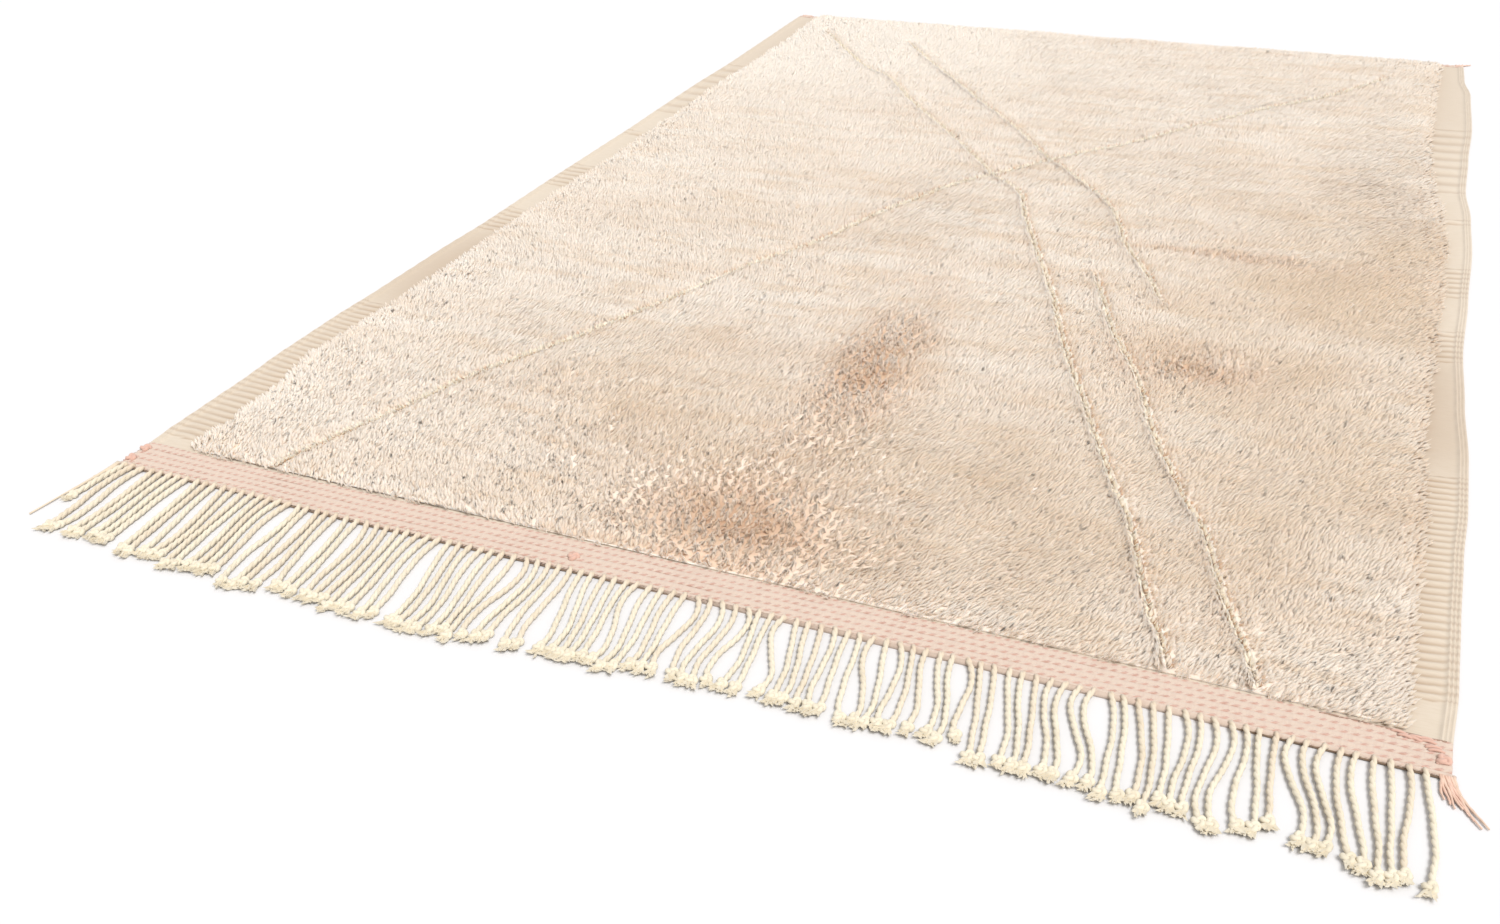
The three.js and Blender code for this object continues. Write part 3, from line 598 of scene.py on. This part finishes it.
def locks(name, places, lean, tall, lock, width, length, splay, seed, finish, **values):
    """A piece of locks: one on each place, with numbers such as `rust` for its finish."""
    mesh = bpy.data.meshes.new(name)
    mesh.vertices.add(len(places))
    mesh.vertices.foreach_set("co", (places * MM).astype(np.float32).ravel())
    layer = mesh.attributes.new("lean", "FLOAT_VECTOR", "POINT")
    layer.data.foreach_set("vector", lean.astype(np.float32).ravel())
    for attribute, numbers in {"tall": tall, **values}.items():
        layer = mesh.attributes.new(attribute, "FLOAT", "POINT")
        layer.data.foreach_set("value", np.broadcast_to(numbers, len(places)).astype(np.float32))
    carrier = bpy.data.objects.new(name, mesh)
    bpy.context.scene.collection.objects.link(carrier)
    modifier = carrier.modifiers.new("Locks", "NODES")
    modifier.node_group = LOCK_TREE
    sizes = {"Lock": lock, "Width": width * MM, "Length": length * MM, "Splay": splay,
             "Seed": seed, "Finish": finish}
    for item in LOCK_TREE.interface.items_tree:
        if item.name in sizes:
            modifier[item.identifier] = sizes[item.name]
    bpy.context.view_layer.update()
    evaluated = carrier.evaluated_get(bpy.context.evaluated_depsgraph_get())
    real = bpy.data.meshes.new_from_object(evaluated)
    carrier.modifiers.clear()
    carrier.data = real
    real.name = name
    for attribute in ("lean", "tall"):
        if attribute in real.attributes:
            real.attributes.remove(real.attributes[attribute])
    real.shade_flat()
    return carrier


PILE_LOCK = lock_shape(
    "pile_lock",
    [(0.1, 0, 0), (-0.1, 0.5, 0.5), (-0.1, -0.5, 0.5), (0.1, 0, 1.0)],
    [(0, 1, 3), (0, 3, 2), (0, 2, 1), (1, 2, 3)],
    [0.3, 0.8, 0.8, 1],
)
END_LOCK = lock_shape(
    "end_lock",
    [(-0.5, -0.3, 0), (0.5, -0.3, 0), (0, 0.55, 0), (-0.3, -0.1, 0.55), (0.45, -0.1, 0.55),
     (0.1, 0.45, 0.55), (0.5, 0.2, 1.0)],
    [(0, 2, 1), (0, 1, 4, 3), (1, 2, 5, 4), (2, 0, 3, 5), (3, 4, 6), (4, 5, 6), (5, 3, 6)],
    [0, 0, 0, 0.6, 0.6, 0.6, 1],
)

# ---------------- the woven ground and side bands


def ground_weave():
    """The woven ground under the pile and the side bands, from edge cord to edge cord."""
    shares = np.linspace(0, 1, 25)
    across = np.linspace(0, 1, 23)
    top = np.zeros((len(shares), len(across), 3))
    for r, share in enumerate(shares):
        for c, part in enumerate(across):
            x = (1 - part) * -985 + part * 990
            y = (1 - share) * ground_front(x) + share * BACK_END
            left, right = side("left", y) + 4, side("right", y) - 4
            top[r, c] = ((1 - part) * left + part * right, y, GROUND_TOP)
    shape = Shape("rust")
    shape.add(*relief(top, 0.0))
    return shape.piece("ground_weave", SIDE_WOOL, smooth=False)


def rib_relief(y):
    """The ribs' height above the band, and how tan it is at places along it: darker in the valleys
    between ribs, partly tan weft and partly painted shade, over a light overall tan, a tan stretch
    and more tan towards the back end.
    """
    height = np.zeros_like(y)
    tan = np.zeros_like(y)
    for i in range(len(RIB_GROUPS["start"])):
        start, pitch, count, rise, depth = (RIB_GROUPS[name][i] for name in RIB_GROUPS)
        end = start + pitch * (count - 1)
        inside = (y > start - pitch / 2) & (y < end + pitch / 2)
        phase = np.cos((y - start) / pitch * 2 * math.pi)
        height += inside * rise * (0.5 + 0.5 * phase) ** 1.3
        # Painted shade, in part: tan in the valleys between ribs.
        tan += inside * depth * (0.5 - 0.5 * phase) ** 2
    tan_stretch = 0.6 * np.exp(-(((y + 640) / 220) ** 4))
    return height, tan + tan_stretch + 0.12 + 0.25 * ease((y - 600) / 500)


def side_band(column, pile_column, inward):
    """One flat-woven side band with its ribs and its three edge cords."""
    start = float(ground_front(np.array(-990.0 * inward)))
    y = np.arange(start, BACK_END + 1, SIDE_BAND["step"])
    y[-1] = BACK_END
    outer = side(column, y)
    inner = side(pile_column, y) + inward * SIDE_BAND["lap"]
    cords = np.arange(0, CORD["count"] * CORD["width"] + 0.1, CORD["width"] / 3)
    rest = np.linspace(0.08, 1, 8)
    columns, tans = [], []
    for reach in cords:
        phase = reach / CORD["width"]
        arch = np.sqrt(np.abs(np.sin(phase * math.pi)))
        wrap = 0.35 * np.sin(y / 7.1 + 2.1 * math.floor(phase))
        z = CORD["valley"] + (CORD["height"] - CORD["valley"]) * arch + wrap * arch
        columns.append(positions(outer + inward * reach, y, z))
        tans.append(0.5 * rib_relief(y)[1])
    band = CORD["count"] * CORD["width"]
    for share in rest:
        x = outer + inward * band + (inner - outer - inward * band) * share
        bow = 5 * math.sin(share * 2.6) + 2.5 * drift(x, y, 55, 3)
        height, tan = rib_relief(y + bow)
        swell = min(1.0, share * 5) * (0.85 + 0.3 * drift(x, y, 24, 4))
        z = SIDE_BAND["height"] + height * swell + 0.5 * drift(x, y, 30, 5)
        columns.append(positions(x, y, z))
        tans.append(tan * (0.6 + 0.4 * share))
    top = np.stack(columns, axis=1)
    tan = np.stack(tans, axis=1)
    if inward < 0:
        top, tan = top[:, ::-1], tan[:, ::-1]
    top[0, :, 1] = ground_front(top[0, :, 0])
    vertices, faces = relief(top, SIDE_BAND["under"])
    rust = np.concatenate([tan.ravel(), np.zeros(len(y) * 2)])
    shape = Shape("rust")
    shape.add(vertices, faces, rust=np.clip(rust, 0, 1))
    return shape.piece(f"side_band_{column}", SIDE_WOOL)


# ---------------- the pile


def groove(signed):
    """How far the pile dips beside a drawn line."""
    return PILE["groove_depth"] * np.exp(-((signed / PILE["groove_reach"]) ** 2))


def rim_gaps(x, y):
    """How far inside the pile's border each place is: from the left, right, front and back."""
    return np.stack([x - side("pile_left", y), side("pile_right", y) - x,
                     y - seam("pile", x) + 4.5, BACK_END - y])


def pile_bed():
    """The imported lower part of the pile, which the locks stand on."""
    rows = np.arange(0, 1, PILE_BED["row_share"])[:, None]
    shares = np.linspace(0, 1, PILE_BED["columns"])[None, :]
    middle = np.linspace(-900, 925, PILE_BED["columns"])[None, :]
    front = seam("pile", middle) + 5
    y = front + (BACK_END - 7 - front) * rows / rows[-1]
    left, right = side("pile_left", y) + 6, side("pile_right", y) - 6
    x = left + (right - left) * shares
    z = pile_height(x, y) - PILE["root_drop"] - groove(from_lines(x, y)[0])
    edge = np.maximum(rim_gaps(x, y).min(axis=0) - 4, 0)
    z = PILE_BED["base"] + (z - PILE_BED["base"]) * ease(edge / PILE["slope"]) ** 0.7
    shape = Shape("rust", "tone", "tip", "cream", "bleach", "gold")
    vertices, faces = relief(positions(x, y, z), PILE_BED["under"])
    parted = np.clip(partings(x, y, "rust"), 0, 1).ravel()
    rust = np.concatenate([parted, np.zeros(2 * len(rows))])
    # Painted shade: the bed darkens where the pile has parted.
    shape.add(vertices, faces, rust=rust, tone=1 - 0.4 * rust, tip=1 - 0.6 * rust)
    return shape.piece("pile_bed", PILE_WOOL)


def clump_pull(x, y, cell):
    """From each place towards the middle of its clump, about `cell` apart."""
    ci, cj = np.floor(x / cell), np.floor(y / cell)
    best = np.full(x.size, 1e9)
    pull = np.zeros((2, x.size))
    for di in (-1, 0, 1):
        for dj in (-1, 0, 1):
            index = (ci + di) * 917 + (cj + dj)
            dx = (ci + di + chance(index, 41)) * cell - x
            dy = (cj + dj + chance(index, 42)) * cell - y
            closer = np.hypot(dx, dy) < best
            best = np.where(closer, np.hypot(dx, dy), best)
            pull = np.where(closer, np.stack([dx, dy]), pull)
    return pull / cell


def pile_yarn(x, y):
    """How the pile is coloured at each place: tan clumps, golden washes, and pale washes that are
    partly bleached wool and partly painted highlight.
    """
    rust = np.clip(partings(x, y, "rust"), 0, 1)
    rust = rust * (0.6 + 0.5 * drift(x, y, 38, 16)) + 0.1 * drift(x, y, 90, 17)
    # Painted highlight as well as paler wool: the wash grows towards the far left corner.
    bleach = ease((y - 100) / 1300) * ease((300 - x) / 900) * 0.8 + spots(WASHES, x, y, "bleach")
    gold = spots(WASHES, x, y, "gold") * (0.8 + 0.5 * drift(x, y, 130, 19))
    return np.clip(rust, 0, 1), np.clip(bleach, 0, 1), np.clip(gold, 0, 1)


def pile_roots(rng):
    """Uneven rows of roots inside the pile's border, off its creases, with where they lie."""
    step = PILE["spacing"]
    jitter = PILE["jitter"]
    x, y = np.meshgrid(np.arange(-945, 962, step), np.arange(-1518, BACK_END + 2, step))
    x = (x + (np.arange(x.shape[0]) % 2 * step / 2)[:, None]).ravel()
    y = y.ravel()
    x = x + rng.uniform(-jitter, jitter, x.size) * step
    y = y + rng.uniform(-jitter, jitter, y.size) * step
    gaps = rim_gaps(x, y)
    keep = gaps.min(axis=0) > 1 + 5 * drift(x, y, 16, 6)
    signed, away = from_lines(x + 2.5 * drift(x, y, 20, 7), y)
    keep &= (signed < -PILE["crease"]) | (signed > 4.0)
    return x[keep], y[keep], gaps[:, keep], signed[keep], away[:, keep]


def pile_lean(x, y, gaps, away, beside, upright):
    """How far the locks lean: combed one way over a hand's breadth, and less where they stand up,
    outwards at the rim and away from a line."""
    comb = 1.1 - 0.55 * x / 900 + 0.5 * drift(x, y, 300, 8) + 0.3 * drift(x, y, 90, 9)
    flat = (2.5 + 0.5 * drift(x, y, 140, 18)) * (1 - 0.75 * upright)
    lean = np.stack([np.cos(comb), np.sin(comb)]) * flat
    lean += 0.4 * np.stack([drift(x, y, 19, 12), drift(x, y, 19, 13)])
    lean += clump_pull(x, y, 26.0) * 0.25 + clump_pull(x, y, 12.5) * 1.9 * upright
    near = np.exp(-np.maximum(gaps, 0) / 15)
    lean = lean * (1 - 0.7 * near.max(axis=0))
    lean[0] += 1.5 * (near[1] - near[0])
    lean[1] += 1.5 * near[3] - 0.9 * near[2]
    return lean * (1 - 0.95 * beside) + away * beside**2 * 0.8


def pile_places():
    """Where each lock is rooted, how it leans, and which yarn it is."""
    rng = np.random.default_rng(11)
    x, y, gaps, signed, away = pile_roots(rng)
    parted = np.clip(partings(x, y, "rust") * 1.25 + 0.2 * drift(x, y, 70, 10), 0, 1)
    upright = np.clip(parted + 0.5 * ease((-700 - y) / 500) * ease((500 - x) / 500), 0, 1)
    beside = np.exp(-((signed / 22) ** 2))
    lean = pile_lean(x, y, gaps, away, beside, upright)
    tall = 1 + 0.1 * drift(x, y, 34, 14) - 0.4 * beside - 0.25 * upright
    crown = pile_height(x, y) - groove(signed) * 0.6
    low = ease(np.maximum(gaps.min(axis=0) + 2, 0) / PILE["slope"]) ** 0.7
    z = 4.5 + (crown - PILE["root_drop"] - 5.5) * low
    rust, bleach, gold = pile_yarn(x, y)
    # Painted shade: the locks just beside each line's crease are tinted tan and dark.
    rust = np.maximum(rust, 0.9 * np.exp(-(((signed + 3.0) / 2.2) ** 2)))
    return {
        "places": positions(x, y, z),
        "lean": positions(*lean, 1.0),
        "tall": tall, "rust": rust, "cream": 0 * x,
        "tone": 0.5 + rng.uniform(-0.5, 0.5, x.size) * (0.25 + 0.75 * parted),
        "bleach": bleach, "gold": gold,
    }


def on_path(at, run, path):
    """Places on a path in the floor's plane, given as distances along it."""
    return np.stack([np.interp(at, run, path[:, 0]), np.interp(at, run, path[:, 1])])


def line_yarn():
    """The cream yarn that draws each line: two rows of upright locks beside the crease."""
    rng = np.random.default_rng(12)
    rows = []
    for cream_side, points in LINES:
        path = rounded(points)
        run = np.concatenate([[0], np.cumsum(np.hypot(*np.diff(path, axis=0).T))])
        for offset in LINE_YARN["offsets"]:
            at = np.arange(0, run[-1], LINE_YARN["spacing"])
            at = at + rng.uniform(-1.2, 1.2, at.size)
            x, y = on_path(at, run, path)
            ahead = on_path(at + 3, run, path) - on_path(at - 3, run, path)
            ahead = ahead / np.hypot(*ahead)
            out = np.stack([-ahead[1], ahead[0]]) * cream_side
            wander = offset + 2.2 * drift(x, y, 20, 7) + rng.uniform(-0.6, 0.6, x.size)
            lean = out * (-0.4 if offset < 2 else 0.4) + ahead * rng.uniform(-0.9, 0.9, x.size)
            x, y = x + out[0] * wander, y + out[1] * wander
            ends = np.clip(np.minimum(at, run[-1] - at) / LINE_YARN["fade"], 0, 1)
            rows.append(np.stack([x, y, *lean, ends]))
    rows = np.concatenate(rows, axis=1)
    x, y, lean_x, lean_y, ends = rows[:, rim_gaps(*rows[:2]).min(axis=0) > 3]
    rust, bleach, gold = pile_yarn(x, y)
    z = pile_height(x, y) - PILE["root_drop"] - 3.5
    return {
        "places": positions(x, y, z),
        "lean": positions(lean_x, lean_y, 1.0),
        "tall": 0.7 + 0.12 * rng.uniform(-1, 1, x.size), "rust": rust * 0.2,
        "cream": 0.8 * ends, "tone": rng.uniform(0.4, 1, x.size), "bleach": 0 * bleach,
        "gold": 0.5 * gold,
    }


def creases():
    """A dark tube along each drawn line: the pile's foot darkened into painted shade in the crease.
    """
    shape = Shape("rust")
    for cream_side, points in LINES:
        path = rounded(points)
        x, y = path.T
        ahead = unit(np.gradient(path, axis=0))
        x = x + ahead[:, 1] * cream_side * 1.5
        y = y - ahead[:, 0] * cream_side * 1.5
        z = pile_height(x, y) - PILE["root_drop"] - 2.8
        inside = rim_gaps(x, y).min(axis=0) > 6
        line = positions(x, y, z)[inside]
        shape.add(*tube(line, 3.6, 6, flat=0.5), rust=1.0)
    return shape.piece("pile_creases", CREASE_SHADOW_WOOL)


def pile_strips():
    """The locks in strips from end to end, so that no one piece grows too heavy."""
    field, lines = pile_places(), line_yarn()
    field = {name: np.concatenate([field[name], lines[name]]) for name in field}
    x = field["places"][:, 0]
    bounds = np.quantile(x, np.linspace(0, 1, PILE["strips"] + 1))
    made = []
    for i in range(PILE["strips"]):
        upper = x <= bounds[i + 1] if i == PILE["strips"] - 1 else x < bounds[i + 1]
        inside = (x >= bounds[i]) & upper
        part = {name: values[inside] for name, values in field.items()}
        made.append(locks(
            f"pile_strip_{i + 1}", lock=PILE_LOCK, width=PILE["lock_width"],
            length=PILE["lock_length"], splay=1.0, seed=20 + i, finish=PILE_WOOL, **part))
    return made


# ---------------- headings


def heading_rows(x):
    """The front heading's two edges at places across the rug."""
    return ground_front(x) - 0.3, seam("root", x) + FRINGE["depth"] - 1


def heading_cloth():
    """The front heading: soft ridges of weft between the twined rows."""
    x = np.arange(HEADING["ends"][0], HEADING["ends"][1] + 1, 5.0)
    back, front = heading_rows(x)
    shares = np.linspace(0, HEADING_DEPTH, 33)
    columns = []
    for share in shares[::-1]:
        y = back + (front - back) * share / HEADING_DEPTH
        ridge = abs(math.sin(share * math.pi)) ** 0.6
        z = 4.0 + 2.9 * ridge + 0.5 * drift(x, y, 9, 21) * ridge + 0.5 * drift(x, y, 60, 22)
        columns.append(positions(x, y, z))
    top = np.stack(columns, axis=0)
    vertices, faces = relief(top, 0.2)
    shape = Shape("rust")
    shape.add(vertices, faces)
    return shape.piece("heading_front_cloth", HEADING_WOOL)


def twined_row(shape, x, y, radius, height, rust, turn):
    """One row of twined weft, as a yarn whose two strands wind round each other."""
    path = positions(x, y, height)
    spin = x / turn * math.pi
    vertices, faces = tube(path, radius, 6, flat=0.8, lobes=0.34, turn=spin)
    angle = np.arange(6) / 6 * 2 * math.pi
    second = np.clip(0.5 - 1.2 * np.cos(angle[None, :] - spin[:, None]), 0, 1).ravel()
    shape.add(vertices, faces, rust=np.maximum(second, rust))


def heading_twining():
    """The twined rows on the heading, and the edging row along the strands' roots."""
    shape = Shape("rust")
    x = np.arange(HEADING["ends"][0], HEADING["ends"][1] + 1, 2.8)
    back, front = heading_rows(x)
    for row in range(HEADING["rows"] + 1):
        wander = 1.2 * drift(x, x * 0 + row * 90, 30, 23)
        y = back + (front - back) * max(row, 0.16) / HEADING_DEPTH + wander
        twined_row(shape, x, y, 2.7, 5.2, 0.0, 6.3 + 0.3 * row)
    y = front + 2.2 + 0.8 * drift(x, x * 0 + 700, 20, 24)
    twined_row(shape, x, y, 3.3, 4.2, 0.6, 6)
    return shape.piece("heading_front_twining", TWINED_WOOL)


def heading_wrap(i):
    """The path of one loose wrap of yarn over the heading's right end."""
    part = np.linspace(-1, 1, 9)
    x = HEADING_WRAPS["first_x"] + HEADING_WRAPS["pitch"] * i + 8 * chance(i, 51)
    x = x + HEADING_WRAPS["half"] * part
    back, front = heading_rows(x)
    row = 0.08 + (0.15 + 0.6 * (i > 4)) * chance(i, 52) + 0.05 * part * (chance(i, 53) - 0.5)
    y = back + (front - back) * row
    return positions(np.minimum(x, 988), y, 8.4 - 2.2 * part**2)


def heading_edge():
    """A dark thread under the heading's front edge and a dark tube in its slit, both painted shadow,
    with its loose wraps and its knots.
    """
    shape = Shape("rust")
    # Painted shadow: the dark thread stands for the shade under the front edge, between the strands.
    x = np.arange(HEADING["ends"][0] + 4, HEADING["ends"][1] - 3, 6.0)
    y = heading_rows(x)[1] - 1.4 + 0.7 * drift(x, x * 0 + 900, 25, 26)
    shape.add(*tube(positions(x, y, 2.0), 1.5, 5), rust=0.0)
    # Painted shadow: a dark tube where the slit near the right end lies open.
    slit = np.linspace(*HEADING_SLIT, 37)
    y = heading_rows(slit)[0] - 3 + 1.5 * drift(slit, slit * 0 + 950, 30, 26)
    path = positions(slit, y, 6.4 + 0.4 * np.sin(slit / 5))
    shape.add(*tube(path, 1.5, 5), rust=0.3)
    for i in range(HEADING_WRAPS["count"]):
        shape.add(*tube(heading_wrap(i), 2.1, 5), rust=1.0)
    for x, row in HEADING_KNOTS:
        back, front = heading_rows(np.array(x + 0.0))
        place = np.array([np.clip(x, -980, 982), back + (front - back) * row, 7.8])
        shape.add(*knot(place, x / 9), rust=1.0)
    return shape.piece("heading_front_edge", SHADOW_AND_WRAP_YARN)


def back_heading():
    """The thin band at the plain end: three twined rows side by side."""
    shape = Shape("rust")
    x = np.arange(BACK_HEADING["ends"][0], BACK_HEADING["ends"][1] + 1, 4.5)
    for row, share in enumerate((0.2, 0.52, 0.84)):
        y = BACK_END + 0.4 + BACK_HEADING["depth"] * share + 0.8 * drift(x, x * 0 + row * 80, 40, 25)
        twined_row(shape, x, y, 3.1, 3.6, 0.25, 13 + row)
    return shape.piece("heading_back_twining", TWINED_WOOL)


# ---------------- the fringe


def through(bends, share):
    """The smooth curve through four values that lie a third of the way apart."""
    a, b, c, d = bends
    t = 3 * share
    early = b * t * (t - 2) * (t - 3) / 2 - a * (t - 1) * (t - 2) * (t - 3) / 6
    return early + d * t * (t - 1) * (t - 2) / 6 - c * t * (t - 1) * (t - 3) / 2


def strand_places():
    """Where each strand bends on its way to its knot, and where its knot lies, as in the frame."""
    total = int(BUNCHES["knots"].sum())
    room = STRAND["knot_width"] + STRAND["knot_gap"]
    sway = FRINGE["sway"]
    places = []
    before = (-1e9, -1e9, -1e9)
    for knots, x, y in zip(*(BUNCHES[name] for name in ("knots", "x", "y"))):
        for j in range(int(knots)):
            i = len(places)
            root = FRINGE["first_x"] + (FRINGE["last_x"] - FRINGE["first_x"]) * i / (total - 1)
            root += 3 * (chance(i, 11) - 0.5)
            tip = max(x + room * (j - (knots - 1) / 2), before[2] + room)
            wave = 4 * math.sin(root / 47) + 0.8 * sway * (chance(i, 12) - 0.5)
            upper = max(root + (tip - root) * 0.3 + wave, before[0] + FRINGE["room"])
            bend = root + (tip - root) * 0.75 + sway * (chance(i, 14) - 0.5)
            lower = max(bend, before[1] + FRINGE["room"])
            before = (upper, lower, tip)
            places.append(((root, upper, lower, tip), y + 12 * (chance(i, 13) - 0.5)))
    return places


def strand_path(i, bends, tip_y):
    """One strand's path over the floor, from its root to its knot."""
    share = np.linspace(0, 0.97, 37)
    x = through(bends, share) + 0.9 * np.sin(share * 19 + i * 2.3) * share
    root_y = float(seam("root", bends[0])) + FRINGE["depth"] / 2
    y = root_y + 3 * (1 - share) - share * (root_y - tip_y)
    z = STRAND["height"] + 2.0 * np.exp(-share * 16)
    return positions(x, y, z)


def fringe():
    """The plied strands with their overhand knots, and the brush of yarn below each knot."""
    shape = Shape("rust")
    ends, leans = [], []
    for i, (bends, tip_y) in enumerate(strand_places()):
        path = strand_path(i, bends, tip_y)
        across, above = beside_and_above(path)
        run = np.concatenate([[0], np.cumsum(np.linalg.norm(np.diff(path, axis=0), axis=1))])
        for ply in (0, math.pi):
            angle = (run / STRAND["turn"] * 2 * math.pi + ply + i)[:, None]
            wound = path + STRAND["offset"] * (np.cos(angle) * across + np.sin(angle) * above)
            blush = 0.3 * chance(i, 31) ** 2 + 0.5 * np.exp(-run / 14)
            thick = STRAND["ply"] - STRAND["thinning"] * bends[0] / FRINGE["last_x"]
            shape.add(*tube(wound, thick, 5), rust=np.repeat(blush, 5))
        tip = path[-1] * (1, 1, 0) + (0, 0, KNOT["height"])
        ahead = unit(path[-1] - path[-4])
        shape.add(*knot(tip - ahead * 1.5, chance(i, 32)), rust=0.0)
        for _ in range(BRUSH["ends"]):
            ends.append(tip + ahead * 5 - (0, 0, 0.8))
            leans.append(ahead * (1, 1, 0) + (0, 0, 0.04))
    yarn = shape.piece("fringe_strands", WARP_YARN)
    ends, leans = np.array(ends), np.array(leans, float)
    rng = np.random.default_rng(33)
    ends += rng.uniform(-1, 1, ends.shape) * BRUSH["root_spread"]
    leans += rng.uniform(-1, 1, leans.shape) * BRUSH["fan"]
    brush = locks(
        "fringe_brushes", ends, leans, rng.uniform(0.6, 1.2, len(ends)), END_LOCK,
        BRUSH["width"], BRUSH["length"], splay=0.3, seed=5, finish=WARP_YARN, rust=0 * ends[:, 0])
    return [yarn, brush]


def knot(centre, turn):
    """An overhand knot drawn up tight, as one closed loop of yarn."""
    t = np.arange(23) / 22 * 2 * math.pi
    x = np.sin(t) + 2 * np.sin(2 * t)
    y = np.cos(t) - 2 * np.cos(2 * t)
    z = -np.sin(3 * t)
    spin = turn * 2
    flat = positions(x * math.cos(spin) - y * math.sin(spin),
                     x * math.sin(spin) + y * math.cos(spin), z)
    path = centre + flat * KNOT["loops"]
    return ring(path[:-1], KNOT["yarn"], 5)


def corner_ends(name, x, width, count, away, tip, reach):
    """A bunch of loose yarn ends, fanned out on the floor from a bound root."""
    shape = Shape("rust")
    west, east = x - width / 2, x + width / 2
    if away > 0:
        seam_y = BACK_END + BACK_HEADING["depth"]
    else:
        seam_y = min(seam("root", west), seam("root", east)) + FRINGE["depth"]
    for i in range(count):
        share = i / (count - 1)
        root_x = west + LOOSE["inset"] + (east - west - 2 * LOOSE["inset"]) * share
        tip_x = x + tip[0] + (tip[1] - tip[0]) * share
        far = (reach[0] + (reach[1] - reach[0]) * share) * (0.8 + 0.2 * chance(i, 21))
        part = np.linspace(0, 1, 13)
        px = root_x + (tip_x - root_x) * part**1.4 + 1.2 * np.sin(part * 7 + i * 2)
        py = seam_y + away * (part * (far + 6) - 2)
        path = positions(px, py, LOOSE["height"] + 2.0 * np.exp(-part * 5))
        radius = LOOSE["root"] - LOOSE["thinning"] * part
        faded = 0.9 if x < 0 and away < 0 else 0.5 * chance(i, 34) ** 2
        shape.add(*tube(path, radius, 6, lobes=0.25, turn=part * far / 4), rust=faded)
    return shape.piece(f"{name}_yarn", LOOSE_YARN)


# ---------------- assembly

ground = ground_weave()
bands = [side_band("left", "pile_left", 1), side_band("right", "pile_right", -1)]
pile = [pile_bed(), creases(), *pile_strips()]
front_heading = [heading_cloth(), heading_twining(), heading_edge()]
plain_end = back_heading()
fringe_pieces = fringe()
corners = {row[0]: corner_ends(*row) for row in CORNER_ENDS}

for made in (ground, *bands, *pile):
    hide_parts("rug_body")
for made in front_heading:
    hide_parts("heading_front")
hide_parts("heading_back")
for made in fringe_pieces:
    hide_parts("fringe_front")
for name, made in corners.items():
    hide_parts(name)

dressing = [*bands, *pile, *front_heading, plain_end, *fringe_pieces, *corners.values()]
for made in (ground, *dressing):
    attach(made, "root")
for made in dressing:
    floor_plan_map(made)

# ---------------- floor, light and camera


def studio_floor():
    half = 14.0
    mesh = bpy.data.meshes.new("studio_floor")
    corners_at = [(-half, -half, 0), (half, -half, 0), (half, half, 0), (-half, half, 0)]
    mesh.from_pydata(corners_at, [], [(0, 1, 2, 3)])
    paper = Finish("pale_floor")
    shader = paper.node("ShaderNodeBsdfPrincipled", {}, {
        "Base Color": colour(0.672, 0.664, 0.669), "Roughness": 0.9})
    paper.node("ShaderNodeOutputMaterial", {}, {"Surface": shader})
    mesh.materials.append(paper.material)
    made = bpy.data.objects.new("studio_floor", mesh)
    bpy.context.scene.collection.objects.link(made)


def soft_light(name, strength, spread, place):
    """A broad, distant light that shines from its place towards the middle of the floor."""
    lamp = bpy.data.lights.new(name, "SUN")
    lamp.energy = strength
    lamp.angle = spread
    made = bpy.data.objects.new(name, lamp)
    back = unit(np.array(place, float))
    across = unit(np.cross([0, 1, 0.01], back))
    toward = Matrix((across, np.cross(back, across), back)).transposed()
    made.matrix_world = Matrix.Translation(place) @ toward.to_4x4()
    bpy.context.scene.collection.objects.link(made)


def surroundings(strength):
    """An even white light from all round."""
    world = bpy.data.worlds.new("studio")
    world.use_nodes = True
    background = world.node_tree.nodes["Background"]
    background.inputs["Color"].default_value = colour(1, 1, 1)
    background.inputs["Strength"].default_value = strength
    bpy.context.scene.world = world


def camera():
    """Above the fringe end, looking along the rug to its far left corner."""
    lens = bpy.data.cameras.new("camera")
    lens.sensor_width = 36
    lens.lens = 36.375
    lens.clip_end = 100
    made = bpy.data.objects.new("camera", lens)
    made.matrix_world = Matrix((
        (0.92354, -0.17257, 0.34247, 0.782),
        (0.38282, 0.46796, -0.79653, -3.092),
        (-0.02280, 0.86674, 0.49824, 1.198),
        (0, 0, 0, 1),
    ))
    bpy.context.scene.collection.objects.link(made)
    bpy.context.scene.camera = made


studio_floor()
soft_light("key", strength=2.95, spread=0.5, place=(2.0, -1.6, 4.0))
surroundings(0.73)
bpy.context.scene.view_settings.view_transform = "Standard"
camera()
